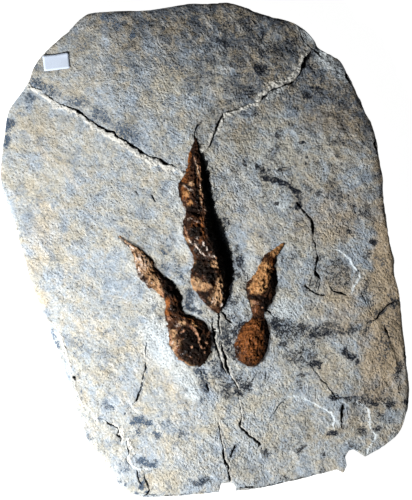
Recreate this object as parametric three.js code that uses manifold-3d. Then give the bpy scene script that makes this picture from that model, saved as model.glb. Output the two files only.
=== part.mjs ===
// A three-toed dinosaur footprint on a slab of pale limestone. The print is kept as three brown
// natural casts that stand proud of the bedding plane, each seated in a shallow socket of the slab.
// A small blank paper label is stuck near the upper-left edge.
//
// Millimetres. The slab lies on its flat underside: z = 0 there, +Z is up out of the bedding
// plane, +Y runs towards the claw of the middle toe, and the origin is under the slab's middle.
import * as THREE from "three";
import { mergeVertices } from "three/addons/utils/BufferGeometryUtils.js";
import Module from "manifold-3d";

const wasm = await Module();
wasm.setup();

// Driving dimensions of the slab.
const TOP = 28; // mean height of the bedding plane above the underside
const CELL = 11; // spacing of the points that carry the relief of the bedding plane
const ABOVE = 60; // a height clear of everything, where cutters end
const SLIVER = 0.05; // corners that the cuts leave closer than this are drawn together

// Driving dimensions of the seats.
const CLEARANCE = 0.3; // gap between a cast and its socket, and under the label
const SOCKET_DEPTH = 3; // how far a cast reaches below the mean bedding plane
const SHOULDER = 0.8; // a cast starts to dome this far below the mean bedding plane

// Driving dimensions of the label.
const LABEL = { x: -142, y: 179, width: 25, height: 15, corner: 2.5, thickness: 0.5, turn: 7 };
const LABEL_FLAT = { inner: 28, outer: 46 }; // the bedding plane is level within the inner radius

// The slab's outline seen from above, clockwise from the upper-left corner.
const OUTLINE = [
  [-108, 227], [-91, 228], [-70, 229], [-53, 230], [-32, 233], [-15, 236], [1, 236], [16, 237.2],
  [25, 236.5], [39, 232], [54, 226], [80, 219], [94, 211], [104, 201], [109, 193], [127, 183],
  [134, 173], [144, 154], [153, 134], [159, 122], [164, 104], [167, 86], [170, 69], [170, 57],
  [173, 34], [178, 2], [181, -9], [181, -22], [185, -40], [188, -62], [190, -79], [192, -95],
  [194, -116], [196, -136], [193, -156], [186, -174], [173, -186], [157, -196], [137, -205],
  [132, -213], [126, -210], [119, -212], [90, -220], [54, -228], [28, -231], [1, -233],
  [-29, -236], [-60, -237], [-80, -228], [-88, -216], [-97, -202], [-112, -184], [-120, -166],
  [-127, -142], [-137, -115], [-148, -82], [-157, -57], [-168, -27], [-178, 7], [-188, 39],
  [-195, 59], [-196, 81], [-193, 107], [-188, 132], [-178, 148], [-169, 163], [-163, 178],
  [-152, 191], [-131, 210], [-118, 223],
];

// The broken edge in section: height, and how far the rock has fallen back there on average.
const EDGE_PROFILE = [
  { z: 0, inset: 4.5 },
  { z: 5, inset: 1.8 },
  { z: 13, inset: 0 },
  { z: 20, inset: 1 },
  { z: 26, inset: 2.8 },
  { z: 36, inset: 9 },
];

// Where the bedding plane breaks away towards the edge: a point on the break, the direction it
// falls in (degrees from +X) and how steeply it falls.
const BREAKS = [
  { x: -130, y: -105, facing: 197, slope: 0.55 },
  { x: 187, y: -112, facing: 3, slope: 0.7 },
  { x: 0, y: -226, facing: 265, slope: 0.5 },
];

// Low swells of the bedding plane: centre, radius and height.
const SWELLS = [
  { x: -60, y: 20, radius: 60, height: 0.9 },
  { x: -45, y: -75, radius: 34, height: 0.9 },
  { x: 20, y: -30, radius: 46, height: 0.5 },
  { x: -40, y: 150, radius: 70, height: 0.7 },
  { x: 90, y: 70, radius: 60, height: 0.6 },
  { x: 95, y: -170, radius: 46, height: -0.7 },
  { x: -90, y: -170, radius: 60, height: -0.5 },
];

// Shallow places where a flake has come off: the floor is level with the surface on one side and
// ends in a step of the given depth on the side it faces.
const FLAKES = [
  {
    facing: 20,
    depth: 2.4,
    points: [
      [111, -11], [121, 0], [132, -2], [140, -11], [147, -21], [146, -33], [139, -43],
      [127, -39], [114, -29],
    ],
  },
  {
    facing: 75,
    depth: 2.2,
    points: [
      [62, -153], [79, -140], [91, -140], [106, -147], [121, -155], [121, -176], [108, -190],
      [81, -193], [62, -178],
    ],
  },
  {
    facing: 10,
    depth: 2.4,
    points: [
      [132, -149], [141, -145], [151, -147], [156, -155], [158, -167], [162, -177], [155, -184],
      [144, -184], [134, -170],
    ],
  },
  {
    facing: 40,
    depth: 6,
    points: [
      [84, 221], [92, 204], [101, 193], [109, 186], [121, 180], [135, 173], [150, 190], [110, 232],
    ],
  },
];

// Open cracks and glued joints: the path, the width at the surface and the depth.
const CRACKS = {
  upper_left: {
    width: 2.6,
    depth: 3.4,
    path: [
      [-171, 161], [-158, 153], [-144, 142], [-125, 135], [-110, 125], [-95, 114], [-80, 105],
      [-64, 94], [-48, 85], [-32, 79], [-22, 77],
    ],
  },
  upper_right: {
    width: 3,
    depth: 3.6,
    path: [
      [100, 189], [94, 179], [87, 167], [79, 160], [62, 148], [45, 140], [29, 135], [17, 131],
      [13, 122], [9, 113], [3, 99], [-3, 92],
    ],
  },
  below_middle: {
    width: 2.4,
    depth: 3.4,
    path: [
      [12, -63], [8, -69], [12, -91], [16, -105], [21, -116], [29, -130], [33, -143], [36, -156],
      [34, -167], [43, -175], [52, -185],
    ],
  },
  bottom: {
    width: 2.2,
    depth: 3.4,
    path: [[13, -163], [13, -177], [16, -188], [17, -199], [23, -208], [23, -221]],
  },
  right_of_print: {
    width: 1.6,
    depth: 2,
    path: [[87, 45], [95, 36], [102, 28], [103, 14], [105, 0], [108, -11]],
  },
  lower_left: {
    width: 1.8,
    depth: 2.4,
    path: [[-112, -157], [-106, -161], [-97, -162], [-91, -167], [-83, -172], [-82, -183]],
  },
  lower_left_end: {
    width: 1.8,
    depth: 2.2,
    path: [[-75, -186], [-73, -195], [-74, -200], [-71, -207]],
  },
  right_edge: {
    width: 1.6,
    depth: 2,
    path: [[184, -48], [177, -51], [169, -60], [159, -70]],
  },
  lower_right: {
    width: 1.6,
    depth: 2,
    path: [[101, -105], [108, -116], [116, -126], [121, -136], [127, -144]],
  },
};

// Bites right through the lower edge.
const NOTCHES = [
  [
    [135, -220], [135, -203], [133.5, -198.5], [135.5, -195], [137.5, -192], [142, -191],
    [148, -191.5], [150.5, -194.5], [151, -210],
  ],
  [[12.5, -240], [13.5, -228], [15, -223.5], [24, -222.5], [27.5, -224], [28.5, -228], [28, -240]],
];

// Each cast as stations from claw to heel: left side x and y, right side x and y, and how high the
// cast stands above the bedding plane. The crest runs at the given share of the way across.
const CASTS = {
  middle_toe_cast: {
    crest: 0.82,
    stations: [
      [-10.5, 107, -8.5, 107, 1],
      [-15, 92.5, -4.5, 92.5, 4.5],
      [-19, 75.5, -0.5, 76.5, 6.5],
      [-26, 62, 1.5, 62, 8],
      [-24.5, 49, 3, 50, 8],
      [-18.5, 37.5, 4.5, 38.5, 8.5],
      [-21.5, 26, 7, 27, 10.5],
      [-20.5, 11.5, 11, 12.5, 12],
      [-11, -8.5, 16.5, -7.5, 11.5],
      [-13.5, -18, 19.5, -17, 11],
      [-13, -32.5, 22, -31.5, 9.5],
      [-4, -47.5, 20.5, -46.5, 6],
      [9, -60, 14.5, -60, 1.5],
    ],
  },
  left_toe_cast: {
    crest: 0.55,
    stations: [
      [-82.5, 12.5, -81.5, 13.5, 0.8],
      [-75, 4, -73.5, 8.5, 2],
      [-69.5, -3.5, -62.5, 3, 3.2],
      [-67, -14, -53, -6.5, 4.4],
      [-62.5, -27.5, -44.5, -20, 4.6],
      [-50, -38, -32, -30.5, 5.6],
      [-38.5, -49.5, -23.5, -43, 6.4],
      [-38.5, -64, -21, -58, 5.2],
      [-35, -76.5, 0.5, -69.5, 6],
      [-35, -88.5, 6.5, -86, 7],
      [-27, -103, 4.5, -102, 5],
      [-14, -111.5, -4, -111.5, 1.8],
    ],
  },
  right_toe_cast: {
    crest: 0.5,
    stations: [
      [74.5, 7, 76, 6, 0.8],
      [66.5, 2, 71, -2, 2.4],
      [56, -5.5, 67.5, -10.5, 3.6],
      [50, -18, 67.5, -23, 5],
      [39.5, -32.5, 68.5, -36, 5.6],
      [40, -46.5, 64.5, -48.5, 4.6],
      [44.5, -63, 56.5, -62, 2.4],
      [35.5, -70.5, 60.5, -69.5, 4],
      [29, -86, 62, -85, 5.2],
      [28.5, -101, 58, -101, 4.6],
      [39, -111, 48.5, -111, 1.5],
    ],
  },
};

// ---- Relief of the bedding plane -----------------------------------------------------------

// A repeatable scatter value between 0 and 1 for a pair of numbers.
function scatter(a, b) {
  const s = Math.sin(a * 127.1 + b * 311.7) * 43758.5453;
  return s - Math.floor(s);
}

function direction(degrees) {
  const angle = THREE.MathUtils.degToRad(degrees);
  return new THREE.Vector2(Math.cos(angle), Math.sin(angle));
}

// Height of the bedding plane at a point, before cracks, flakes and sockets are cut.
function surface(x, y) {
  let relief = 0.5 * Math.sin(x / 31 + y / 57) + 0.4 * Math.sin(y / 23 - x / 71);
  for (const swell of SWELLS) {
    const share = Math.hypot(x - swell.x, y - swell.y) / swell.radius;
    relief += swell.height * Math.exp(-2 * share * share);
  }
  relief += 0.9 * (scatter(Math.round(x), Math.round(y)) - 0.5);
  const away = Math.hypot(x - LABEL.x, y - LABEL.y);
  relief *= THREE.MathUtils.smoothstep(away, LABEL_FLAT.inner, LABEL_FLAT.outer);
  let height = TOP + relief;
  for (const edge of BREAKS) {
    const out = direction(edge.facing);
    const beyond = (x - edge.x) * out.x + (y - edge.y) * out.y;
    height = Math.min(height, TOP + 0.8 - edge.slope * beyond);
  }
  return height;
}

// ---- Making solids -------------------------------------------------------------------------

function asSolid(geometry) {
  geometry.deleteAttribute("normal");
  geometry.deleteAttribute("uv");
  const merged = mergeVertices(geometry, 1e-4);
  return new wasm.Manifold(
    new wasm.Mesh({
      numProp: 3,
      vertProperties: merged.attributes.position.array,
      triVerts: new Uint32Array(merged.index.array),
    }),
  );
}

function asMesh(name, solid, look) {
  const mesh = solid.getMesh();
  const geometry = new THREE.BufferGeometry();
  geometry.setAttribute("position", new THREE.BufferAttribute(mesh.vertProperties, mesh.numProp));
  geometry.setIndex(new THREE.BufferAttribute(mesh.triVerts, 1));
  geometry.computeVertexNormals();
  const part = new THREE.Mesh(geometry, new THREE.MeshStandardMaterial(look));
  part.name = name;
  return part;
}

// A closed skin over rings of points: a capped cylinder whose points are moved on to the rings.
// The first ring is the cylinder's foot, and each ring runs anticlockwise seen from beyond the last.
function loft(rings) {
  const count = rings[0].length;
  const steps = rings.length - 1;
  const skin = new THREE.CylinderGeometry(1, 1, 1, count, steps);
  const position = skin.getAttribute("position");
  for (let i = 0; i < position.count; i++) {
    const x = position.getX(i);
    const z = position.getZ(i);
    const ring = rings[Math.round((position.getY(i) + 0.5) * steps)];
    if (Math.hypot(x, z) < 0.5) {
      const middle = new THREE.Vector3();
      ring.forEach((point) => middle.addScaledVector(point, 1 / count));
      position.setXYZ(i, middle.x, middle.y, middle.z);
    } else {
      const turn = Math.atan2(x, z) / (2 * Math.PI);
      const point = ring[Math.round((turn + 1) * count) % count];
      position.setXYZ(i, point.x, point.y, point.z);
    }
  }
  return asSolid(skin);
}

// Points pushed outwards from a closed outline that runs clockwise.
function grown(points, distance) {
  return points.map((point, i) => {
    const before = points.at(i - 1);
    const after = points[(i + 1) % points.length];
    const along = new THREE.Vector2().subVectors(after, before).normalize();
    return new THREE.Vector2(point.x - along.y * distance, point.y + along.x * distance);
  });
}

// An upright prism on an outline; floor and roof give the heights of its ends at each corner.
function prism(points, floor, roof) {
  const block = new THREE.ExtrudeGeometry(new THREE.Shape(points), {
    depth: 1,
    bevelEnabled: false,
  });
  const position = block.getAttribute("position");
  for (let i = 0; i < position.count; i++) {
    const corner = new THREE.Vector2(position.getX(i), position.getY(i));
    position.setZ(i, position.getZ(i) < 0.5 ? floor(corner) : roof(corner));
  }
  return asSolid(block);
}

const flat = (points) => points.map(([x, y]) => new THREE.Vector2(x, y));

// ---- The slab --------------------------------------------------------------------------------

// A block whose upper face carries the relief, its points nudged off their regular grid.
function beddingBlock() {
  const size = 2 * 260;
  const cells = Math.round(size / CELL);
  const block = new THREE.BoxGeometry(size, size, 2 * ABOVE, cells, cells, 1);
  const position = block.getAttribute("position");
  for (let i = 0; i < position.count; i++) {
    let x = position.getX(i);
    let y = position.getY(i);
    if (position.getZ(i) < 0) continue;
    if (Math.abs(x) < size / 2 - 1 && Math.abs(y) < size / 2 - 1) {
      const column = Math.round(x / CELL);
      const row = Math.round(y / CELL);
      x += 0.5 * CELL * (scatter(column, row) - 0.5);
      y += 0.5 * CELL * (scatter(row, column + 0.5) - 0.5);
    }
    position.setXYZ(i, x, y, surface(x, y));
  }
  return asSolid(block);
}

// How unevenly the edge has broken: a factor on the fall-back that changes round the slab and
// from layer to layer.
function ragged(x, y, z) {
  const turn = Math.atan2(y, x);
  return 1 + 0.45 * Math.sin(9 * turn + z / 4) + 0.4 * Math.sin(23 * turn - z / 3);
}

// The outline drawn as a smooth closed curve, with the fallen-back rings of the broken edge.
function edgeSolid() {
  const curve = new THREE.CatmullRomCurve3(
    OUTLINE.map(([x, y]) => new THREE.Vector3(x, y, 0)),
    true,
    "catmullrom",
    0.5,
  );
  const outline = curve.getPoints(2 * OUTLINE.length).slice(0, -1);
  const rings = EDGE_PROFILE.map(({ z, inset }) => {
    const ring = outline.map((point, i) => {
      const along = outline[(i + 1) % outline.length].clone().sub(outline.at(i - 1)).normalize();
      const inwards = inset * ragged(point.x, point.y, z) + 0.25 * Math.min(inset, 2) * scatter(i, z);
      return new THREE.Vector3(point.x + along.y * inwards, point.y - along.x * inwards, z);
    });
    return ring.reverse();
  });
  return loft(rings);
}

// A V-shaped groove along a path, tapering out at both ends.
function crack({ path, width, depth }) {
  const curve = new THREE.CatmullRomCurve3(path.map(([x, y]) => new THREE.Vector3(x, y, 0)));
  const steps = 2 * (path.length - 1);
  const rings = [];
  for (let i = 0; i <= steps; i++) {
    const point = curve.getPoint(i / steps);
    const along = curve.getTangent(i / steps);
    const fade = Math.min(1, 0.3 + 0.5 * Math.min(i, steps - i));
    const wander = 0.7 + 0.6 * scatter(i, path.length);
    const level = surface(point.x, point.y);
    const raise = 4;
    const half = (0.5 * width * fade * wander * (depth + raise)) / depth;
    const side = new THREE.Vector3(-along.y, along.x, 0);
    rings.push([
      point.clone().addScaledVector(side, -half).setZ(level + raise),
      point.clone().setZ(level - depth * fade),
      point.clone().addScaledVector(side, half).setZ(level + raise),
    ]);
  }
  return loft(rings);
}

// The space left by a flake: its floor dips towards the side it faces and ends there in a step.
function flake({ points, facing, depth }) {
  const ring = flat(points);
  const out = direction(facing);
  const reach = ring.map((p) => p.dot(out));
  const start = Math.min(...reach);
  const length = Math.max(...reach) - start;
  const floor = (p) => TOP + 1 - ((depth + 1) * (p.dot(out) - start)) / length;
  return prism(ring, floor, () => ABOVE);
}

// ---- The casts -------------------------------------------------------------------------------

// Smooth lines down the left and right side of a cast; z carries how high it stands.
function sides({ stations }) {
  const line = (pick) => new THREE.CatmullRomCurve3(stations.map(pick), false, "catmullrom", 0.5);
  const count = 3 * (stations.length - 1);
  return {
    left: line(([x, y, , , rise]) => new THREE.Vector3(x, y, rise)).getPoints(count),
    right: line(([, , x, y, rise]) => new THREE.Vector3(x, y, rise)).getPoints(count),
  };
}

// The socket is the cast's outline with clearance all round and below.
function socket(cast) {
  const { left, right } = sides(cast);
  const outline = [...right, ...left.reverse()].map((p) => new THREE.Vector2(p.x, p.y));
  return prism(
    grown(outline, CLEARANCE),
    () => TOP - SOCKET_DEPTH - CLEARANCE,
    () => ABOVE,
  );
}

function castSolid(cast) {
  const { left, right } = sides(cast);
  const across = 8;
  const rings = left.map((from, i) => {
    const to = right[i];
    const base = TOP - SOCKET_DEPTH;
    const ring = [to.clone().setZ(base)];
    for (let k = 0; k <= across; k++) {
      const share = 1 - k / across;
      const climb = share < cast.crest ? share / cast.crest : (1 - share) / (1 - cast.crest);
      const dome = Math.pow(Math.sin((climb * Math.PI) / 2), 0.75);
      const lump = 1 + 0.16 * (scatter(i, k) - 0.5);
      const height = TOP - SHOULDER + (from.z + SHOULDER) * dome * lump;
      ring.push(new THREE.Vector3().lerpVectors(from, to, share).setZ(height));
    }
    ring.push(from.clone().setZ(base));
    return ring;
  });
  return loft(rings);
}

// ---- The label -------------------------------------------------------------------------------

function labelSolid() {
  const { width, height, corner, thickness } = LABEL;
  const corners = [
    [1, 1, 0], [-1, 1, 90], [-1, -1, 180], [1, -1, 270],
  ];
  const turn = new THREE.Vector2();
  const outline = corners.flatMap(([sideX, sideY, start]) =>
    [0, 45, 90].map((step) => {
      const point = direction(start + step).multiplyScalar(corner);
      point.x += sideX * (width / 2 - corner);
      point.y += sideY * (height / 2 - corner);
      return point.rotateAround(turn, THREE.MathUtils.degToRad(LABEL.turn));
    }),
  );
  const placed = outline.map((p) => new THREE.Vector2(p.x + LABEL.x, p.y + LABEL.y));
  const underside = TOP + CLEARANCE;
  return prism(placed, () => underside, () => underside + thickness);
}

// ---- Assembly --------------------------------------------------------------------------------

let slab = beddingBlock().intersect(edgeSolid());
for (const groove of Object.values(CRACKS)) slab = slab.subtract(crack(groove));
for (const spot of FLAKES) slab = slab.subtract(flake(spot));
for (const bite of NOTCHES) slab = slab.subtract(prism(flat(bite), () => -ABOVE, () => ABOVE));
for (const cast of Object.values(CASTS)) slab = slab.subtract(socket(cast));
slab = slab.simplify(SLIVER);

const LIMESTONE = { color: 0xb4ae9e, roughness: 0.95, metalness: 0 };
const IRONSTONE = { color: 0x5b3216, roughness: 0.6, metalness: 0 };
const PAPER = { color: 0xe9edf2, roughness: 0.7, metalness: 0 };

const fossil = new THREE.Group();
fossil.name = "dinosaur_footprint_fossil";
fossil.add(asMesh("slab", slab, LIMESTONE));
for (const [name, cast] of Object.entries(CASTS)) {
  fossil.add(asMesh(name, castSolid(cast), IRONSTONE));
}
fossil.add(asMesh("specimen_label", labelSolid(), PAPER));

export default fossil;
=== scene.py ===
# %% [markdown]
# # A dinosaur footprint on a limestone slab
# The real thing is a thin slab of pale limestone, glued together from broken pieces, that carries
# the print of a three-toed dinosaur. Mud of another kind once filled the print and hardened into
# brown ironstone, so the toes now stand up from the slab as three natural casts. A small paper
# sticker near one edge is the collector's label, kept blank here.
#
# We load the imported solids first. They fix where everything is and how large it is, and each piece
# that we model later stands for one of them.

# %% Load the frame
import math
from bisect import bisect_right

import bmesh
import bpy
from mathutils import Matrix, Vector, kdtree, noise
from mathutils.geometry import interpolate_bezier


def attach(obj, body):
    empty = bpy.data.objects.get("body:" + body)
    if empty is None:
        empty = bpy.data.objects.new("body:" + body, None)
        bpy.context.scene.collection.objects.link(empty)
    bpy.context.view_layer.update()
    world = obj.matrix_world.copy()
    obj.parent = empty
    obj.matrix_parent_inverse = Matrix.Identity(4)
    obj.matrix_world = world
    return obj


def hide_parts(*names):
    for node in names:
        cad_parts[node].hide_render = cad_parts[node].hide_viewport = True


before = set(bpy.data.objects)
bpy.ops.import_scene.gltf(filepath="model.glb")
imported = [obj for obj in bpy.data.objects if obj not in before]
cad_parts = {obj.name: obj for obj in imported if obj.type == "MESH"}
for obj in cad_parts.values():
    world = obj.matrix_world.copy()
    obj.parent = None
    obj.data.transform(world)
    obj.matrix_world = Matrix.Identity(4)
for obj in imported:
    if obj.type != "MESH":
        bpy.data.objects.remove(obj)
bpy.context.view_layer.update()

print("solids:", sorted(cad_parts))

# %% [markdown]
# ## Sizes
# All shapes are worked out in millimetres, because that is how a mason would measure the slab, and
# are scaled to metres when a piece is finished. The underside of the slab is at height zero, and
# the bedding plane, the old lake floor that the animal walked on, lies at TOP. Each cast stands in
# a shallow socket, so that no light shows under its edge.

# %% Sizes in millimetres
MM = 0.001
TOP = 28
SOCKET_DEPTH = 3
print("bedding plane at", TOP, "mm, sockets", SOCKET_DEPTH, "mm deep")

# %% [markdown]
# Stone is never even, so three helpers come back everywhere. A soft step goes from 0 to 1 without a
# corner, and with its ends swapped it goes down. A mix lies between two values. Layered noise is
# broad waves with ever finer ones on top. It holds no chance: a point always gets the same value.

# %% Soft steps and noise
LAYER_FADE = 0.9
LAYER_STEP = 2.1
NOISE_LEVEL = 0.37
TINY = 1e-6


def smoothstep(low, high, value):
    share = min(1, max(0, (value - low) / (high - low)))
    return share * share * (3 - 2 * share)


def mixed(a, b, share):
    return a + (b - a) * share


def layered_noise(point, detail):
    """Noise in layers, each LAYER_STEP times finer than the one before it, and weaker."""
    return noise.fractal(Vector(point), LAYER_FADE, LAYER_STEP, detail)


def wavy(x, y, size, detail=3):
    """Noise mostly between -1 and 1, whose largest lumps are about size millimetres wide."""
    return layered_noise((x / size, y / size, NOISE_LEVEL), detail)


print("noise at the middle:", round(wavy(0, 0, 10), 2))

# %% [markdown]
# ## The camera
# The slab lies flat, so the camera looks straight down on it, from so far away and with so long a
# lens that perspective hardly shows. The picture is 500 rows high, and each row shows SLAB_PER_ROW
# millimetres of the slab.

# %% Camera
PICTURE_ROWS = 500
SLAB_PER_ROW = 0.955
LENS = 100
SENSOR = 36
CAMERA_HEIGHT = PICTURE_ROWS * SLAB_PER_ROW * LENS / SENSOR + TOP
CAMERA_X = 0.6
VIEW_END = 20


def new_object(name, data):
    made = bpy.data.objects.new(name, data)
    bpy.context.scene.collection.objects.link(made)
    return made


camera = new_object("camera", bpy.data.cameras.new("camera"))
camera.data.lens = LENS
camera.data.sensor_width = SENSOR
camera.data.clip_end = VIEW_END
camera.location = (CAMERA_X * MM, 0, CAMERA_HEIGHT * MM)
bpy.context.scene.camera = camera
print("camera height, mm:", round(CAMERA_HEIGHT))

# %% [markdown]
# ## The outline of the slab
# A broken slab has no straight side, so its outline is a list of points, given clockwise. The two
# bites in the lower edge are lists of their own, because their corners stay sharp.

# %% Outline points
OUTLINE = [
    (-108, 227), (-91, 228), (-70, 229), (-53, 230), (-32, 233), (-15, 236), (1, 236),
    (16, 237.2), (25, 236.5), (39, 232), (54, 226), (80, 219), (94, 211), (104, 201), (109, 193),
    (127, 183), (134, 173), (144, 154), (153, 134), (159, 122), (164, 104), (167, 86), (170, 69),
    (170, 57), (173, 34), (178, 2), (181, -9), (181, -22), (185, -40), (188, -62), (190, -79),
    (192, -95), (194, -116), (196, -136), (193, -156), (186, -174), (173, -186), (157, -196),
    (137, -205), (132, -213), (126, -210), (119, -212), (90, -220), (54, -228), (28, -231),
    (1, -233), (-29, -236), (-60, -237), (-80, -228), (-88, -216), (-97, -202), (-112, -184),
    (-120, -166), (-127, -142), (-137, -115), (-148, -82), (-157, -57), (-168, -27), (-178, 7),
    (-188, 39), (-195, 59), (-196, 81), (-193, 107), (-188, 132), (-178, 148), (-169, 163),
    (-163, 178), (-152, 191), (-131, 210), (-118, 223),
]
NOTCHES = [
    [(135, -204), (133.5, -198.5), (135.5, -195), (137.5, -192), (142, -191), (148, -191.5),
     (150.5, -194.5), (153, -198)],
    [(13.2, -234), (13.5, -228), (15, -223.5), (24, -222.5), (27.5, -224), (28.5, -228),
     (28.9, -231)],
]
print(len(OUTLINE), "outline points,", len(NOTCHES), "notches")

# %% [markdown]
# Old breaks are worn round, so the points are joined by curves. Each stretch is a Bezier curve with
# handles along its neighbours, so the line passes through every point without a kink.

# %% Smooth lines
def smooth_line(points, closed=False, steps=6):
    """Points along a smooth line through the given points."""
    knots = [Vector((p[0], p[1], 0)) for p in points]
    count = len(knots)
    line = []
    for i in range(count if closed else count - 1):
        a, b = knots[i], knots[(i + 1) % count]
        before = knots[i - 1] if closed or i else a + (a - b)
        after = knots[(i + 2) % count] if closed or i + 2 < count else b + (b - a)
        handles = a + (b - before) / 6, b - (after - a) / 6
        line += interpolate_bezier(a, *handles, b, steps + 1)[:-1]
    return line if closed else line + [knots[-1]]


edge_line = smooth_line(OUTLINE, closed=True, steps=12)
print("points along the edge:", len(edge_line))

# %% [markdown]
# We need one thing from the outline: how far the edge is from the middle of the slab in any
# direction. With that, a plain square grid can be drawn out until its border is the outline. The
# points are sorted by direction, and a distance is read off between the two nearest.

# %% Reach of the edge
def turn_of(point):
    return math.atan2(point[1], point[0])


RIM = sorted((turn_of(p), p.length) for p in edge_line)
RIM = [(RIM[-1][0] - math.tau, RIM[-1][1]), *RIM, (RIM[0][0] + math.tau, RIM[0][1])]
BITES = [sorted((turn_of(p), math.hypot(*p)) for p in notch) for notch in NOTCHES]


def reach_at(turn, table):
    """The distance from the middle at an angle, read off a sorted table."""
    i = min(max(bisect_right(table, (turn,)), 1), len(table) - 1)
    (a, near), (b, far) = table[i - 1], table[i]
    return mixed(near, far, (turn - a) / max(b - a, TINY))


def edge_reach(turn):
    """How far the slab reaches at an angle, notches included."""
    reach = reach_at(turn, RIM)
    for bite in BITES:
        if bite[0][0] < turn < bite[-1][0]:
            reach = min(reach, reach_at(turn, bite))
    return reach


print("outline reaches", round(edge_reach(0)), "mm to the right of the middle")

# %% [markdown]
# ## The casts' plan
# Each toe is given as stations from claw to heel: the left side, the right side and how high the
# cast stands there. The crest is where its highest line runs, as a share of its width, and the
# painted shade of the steep flank begins at another share.

# %% Stations of the casts
CASTS = {
    "middle_toe_cast": dict(crest=0.74, flank=0.78, stations=[
        (-10.5, 107, -8.5, 107, 1), (-15, 92.5, -4.5, 92.5, 4.5), (-19, 75.5, -0.5, 76.5, 6.5),
        (-26, 62, 1.5, 62, 8), (-24.5, 49, 3, 50, 8), (-18.5, 37.5, 4.5, 38.5, 8.5),
        (-21.5, 26, 7, 27, 10.5), (-20.5, 11.5, 11, 12.5, 12), (-11, -8.5, 16.5, -7.5, 11.5),
        (-13.5, -18, 19.5, -17, 11), (-13, -32.5, 22, -31.5, 9.5), (-4, -47.5, 20.5, -46.5, 6),
        (9, -60, 14.5, -60, 1.5),
    ]),
    "left_toe_cast": dict(crest=0.55, flank=0.86, stations=[
        (-82.5, 12.5, -81.5, 13.5, 0.8), (-75, 4, -73.5, 8.5, 2), (-69.5, -3.5, -62.5, 3, 3.2),
        (-67, -14, -53, -6.5, 4.4), (-62.5, -27.5, -44.5, -20, 4.6), (-50, -38, -32, -30.5, 5.6),
        (-38.5, -49.5, -23.5, -43, 6.4), (-38.5, -64, -21, -58, 5.2), (-35, -76.5, 0.5, -69.5, 6),
        (-35, -88.5, 6.5, -86, 7), (-27, -103, 4.5, -102, 5), (-14, -111.5, -4, -111.5, 1.8),
    ]),
    "right_toe_cast": dict(crest=0.5, flank=0.9, stations=[
        (74.5, 7, 76, 6, 0.8), (66.5, 2, 71, -2, 2.4), (56, -5.5, 67.5, -10.5, 3.6),
        (50, -18, 67.5, -23, 5), (39.5, -32.5, 68.5, -36, 5.6), (40, -46.5, 64.5, -48.5, 4.6),
        (44.5, -63, 56.5, -62, 2.4), (35.5, -70.5, 60.5, -69.5, 4), (29, -86, 62, -85, 5.2),
        (28.5, -101, 58, -101, 4.6), (39, -111, 48.5, -111, 1.5),
    ]),
}
print("stations:", {name: len(cast["stations"]) for name, cast in CASTS.items()})

# %% [markdown]
# Between two stations all five numbers change along one smooth curve. The slab needs the plan as
# well, for the socket under each cast, so the plan comes before both.

# %% Plan of the casts
def station(cast, place):
    """The station at a place along a cast, from 0 at the claw to 1 at the heel."""
    rows = [Vector(row) for row in cast["stations"]]
    spot = min(max(place, 0), 1) * (len(rows) - 1)
    i = min(int(spot), len(rows) - 2)
    t = spot - i
    a, b = rows[i], rows[i + 1]
    before = rows[i - 1] if i else a + (a - b)
    after = rows[i + 2] if i + 2 < len(rows) else b + (b - a)
    bend = 2 * before - 5 * a + 4 * b - after
    twist = 3 * a - before - 3 * b + after
    return 0.5 * (2 * a + (b - before) * t + bend * t * t + twist * t**3)


def plan_of(cast, steps=80):
    """The cast's outline seen from above, clockwise from the claw."""
    rows = [station(cast, i / steps) for i in range(steps + 1)]
    right = [(row[2], row[3]) for row in rows]
    left = [(row[0], row[1]) for row in reversed(rows)]
    return right + left


for name, cast in CASTS.items():
    cast["plan"] = plan_of(cast)
    print(name, "outline points:", len(cast["plan"]))

# %% [markdown]
# ## Lines on the slab
# Much of the slab's character sits on lines: cracks, joints filled with pale glue and stone dust,
# and the rims of flaked spots. Each is a path with a few numbers. For every point of the slab we
# ask how far it is from the path and on which side, and a k-d tree answers that quickly.

# %% A line that knows its distance
SPOT_GAP = 0.6


class Line:
    """A path with its points held in a k-d tree. The numbers that follow x and y in a point, such
    as a width, change evenly from point to point."""

    def __init__(self, points, closed=False, smooth=True, **values):
        knots = list(points) + ([points[0]] if closed else [])
        steps = 6 if smooth else 1
        line = smooth_line(points, closed, steps) if smooth else [
            Vector((*knot[:2], 0)) for knot in knots]
        if smooth and closed:
            line = line + line[:1]
        self.spots = []
        for k, (a, b) in enumerate(zip(line, line[1:])):
            length = (b - a).length
            if length < TINY:
                continue
            here, there = knots[k // steps][2:], knots[k // steps + 1][2:]
            pieces = max(1, round(length / SPOT_GAP))
            for i in range(pieces):
                t = (k % steps + i / pieces) / steps
                more = [mixed(p, q, t) for p, q in zip(here, there)]
                self.spots.append((a.lerp(b, i / pieces), (b - a) / length, more))
        self.tree = kdtree.KDTree(len(self.spots))
        for i, (spot, _, _) in enumerate(self.spots):
            self.tree.insert(spot, i)
        self.tree.balance()
        self.low = [min(s[0][k] for s in self.spots) for k in (0, 1)]
        self.high = [max(s[0][k] for s in self.spots) for k in (0, 1)]
        self.values = values

    def near(self, x, y, most):
        """(distance, side, share along, numbers) of a point within most of the line, or None.
        The side is positive on the left of the path."""
        low, high = self.low, self.high
        if not (low[0] - most < x < high[0] + most and low[1] - most < y < high[1] + most):
            return None
        _, i, distance = self.tree.find(Vector((x, y, 0)))
        if distance > most:
            return None
        spot, along, more = self.spots[i]
        cross = along.x * (y - spot.y) - along.y * (x - spot.x)
        return distance, cross, i / len(self.spots), more


CAST_LINES = {
    name: Line(cast["plan"], closed=True, smooth=False) for name, cast in CASTS.items()
}
print("spots round the casts:", [len(line.spots) for line in CAST_LINES.values()])

# %% [markdown]
# First come the glued joints. Each point has the width of the gap there and the width of the pale
# filler, which lies on one side of the path, 1 for left, and the cover says how pale it is. The gap
# opens and closes as the broken edges meet or miss each other.

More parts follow.
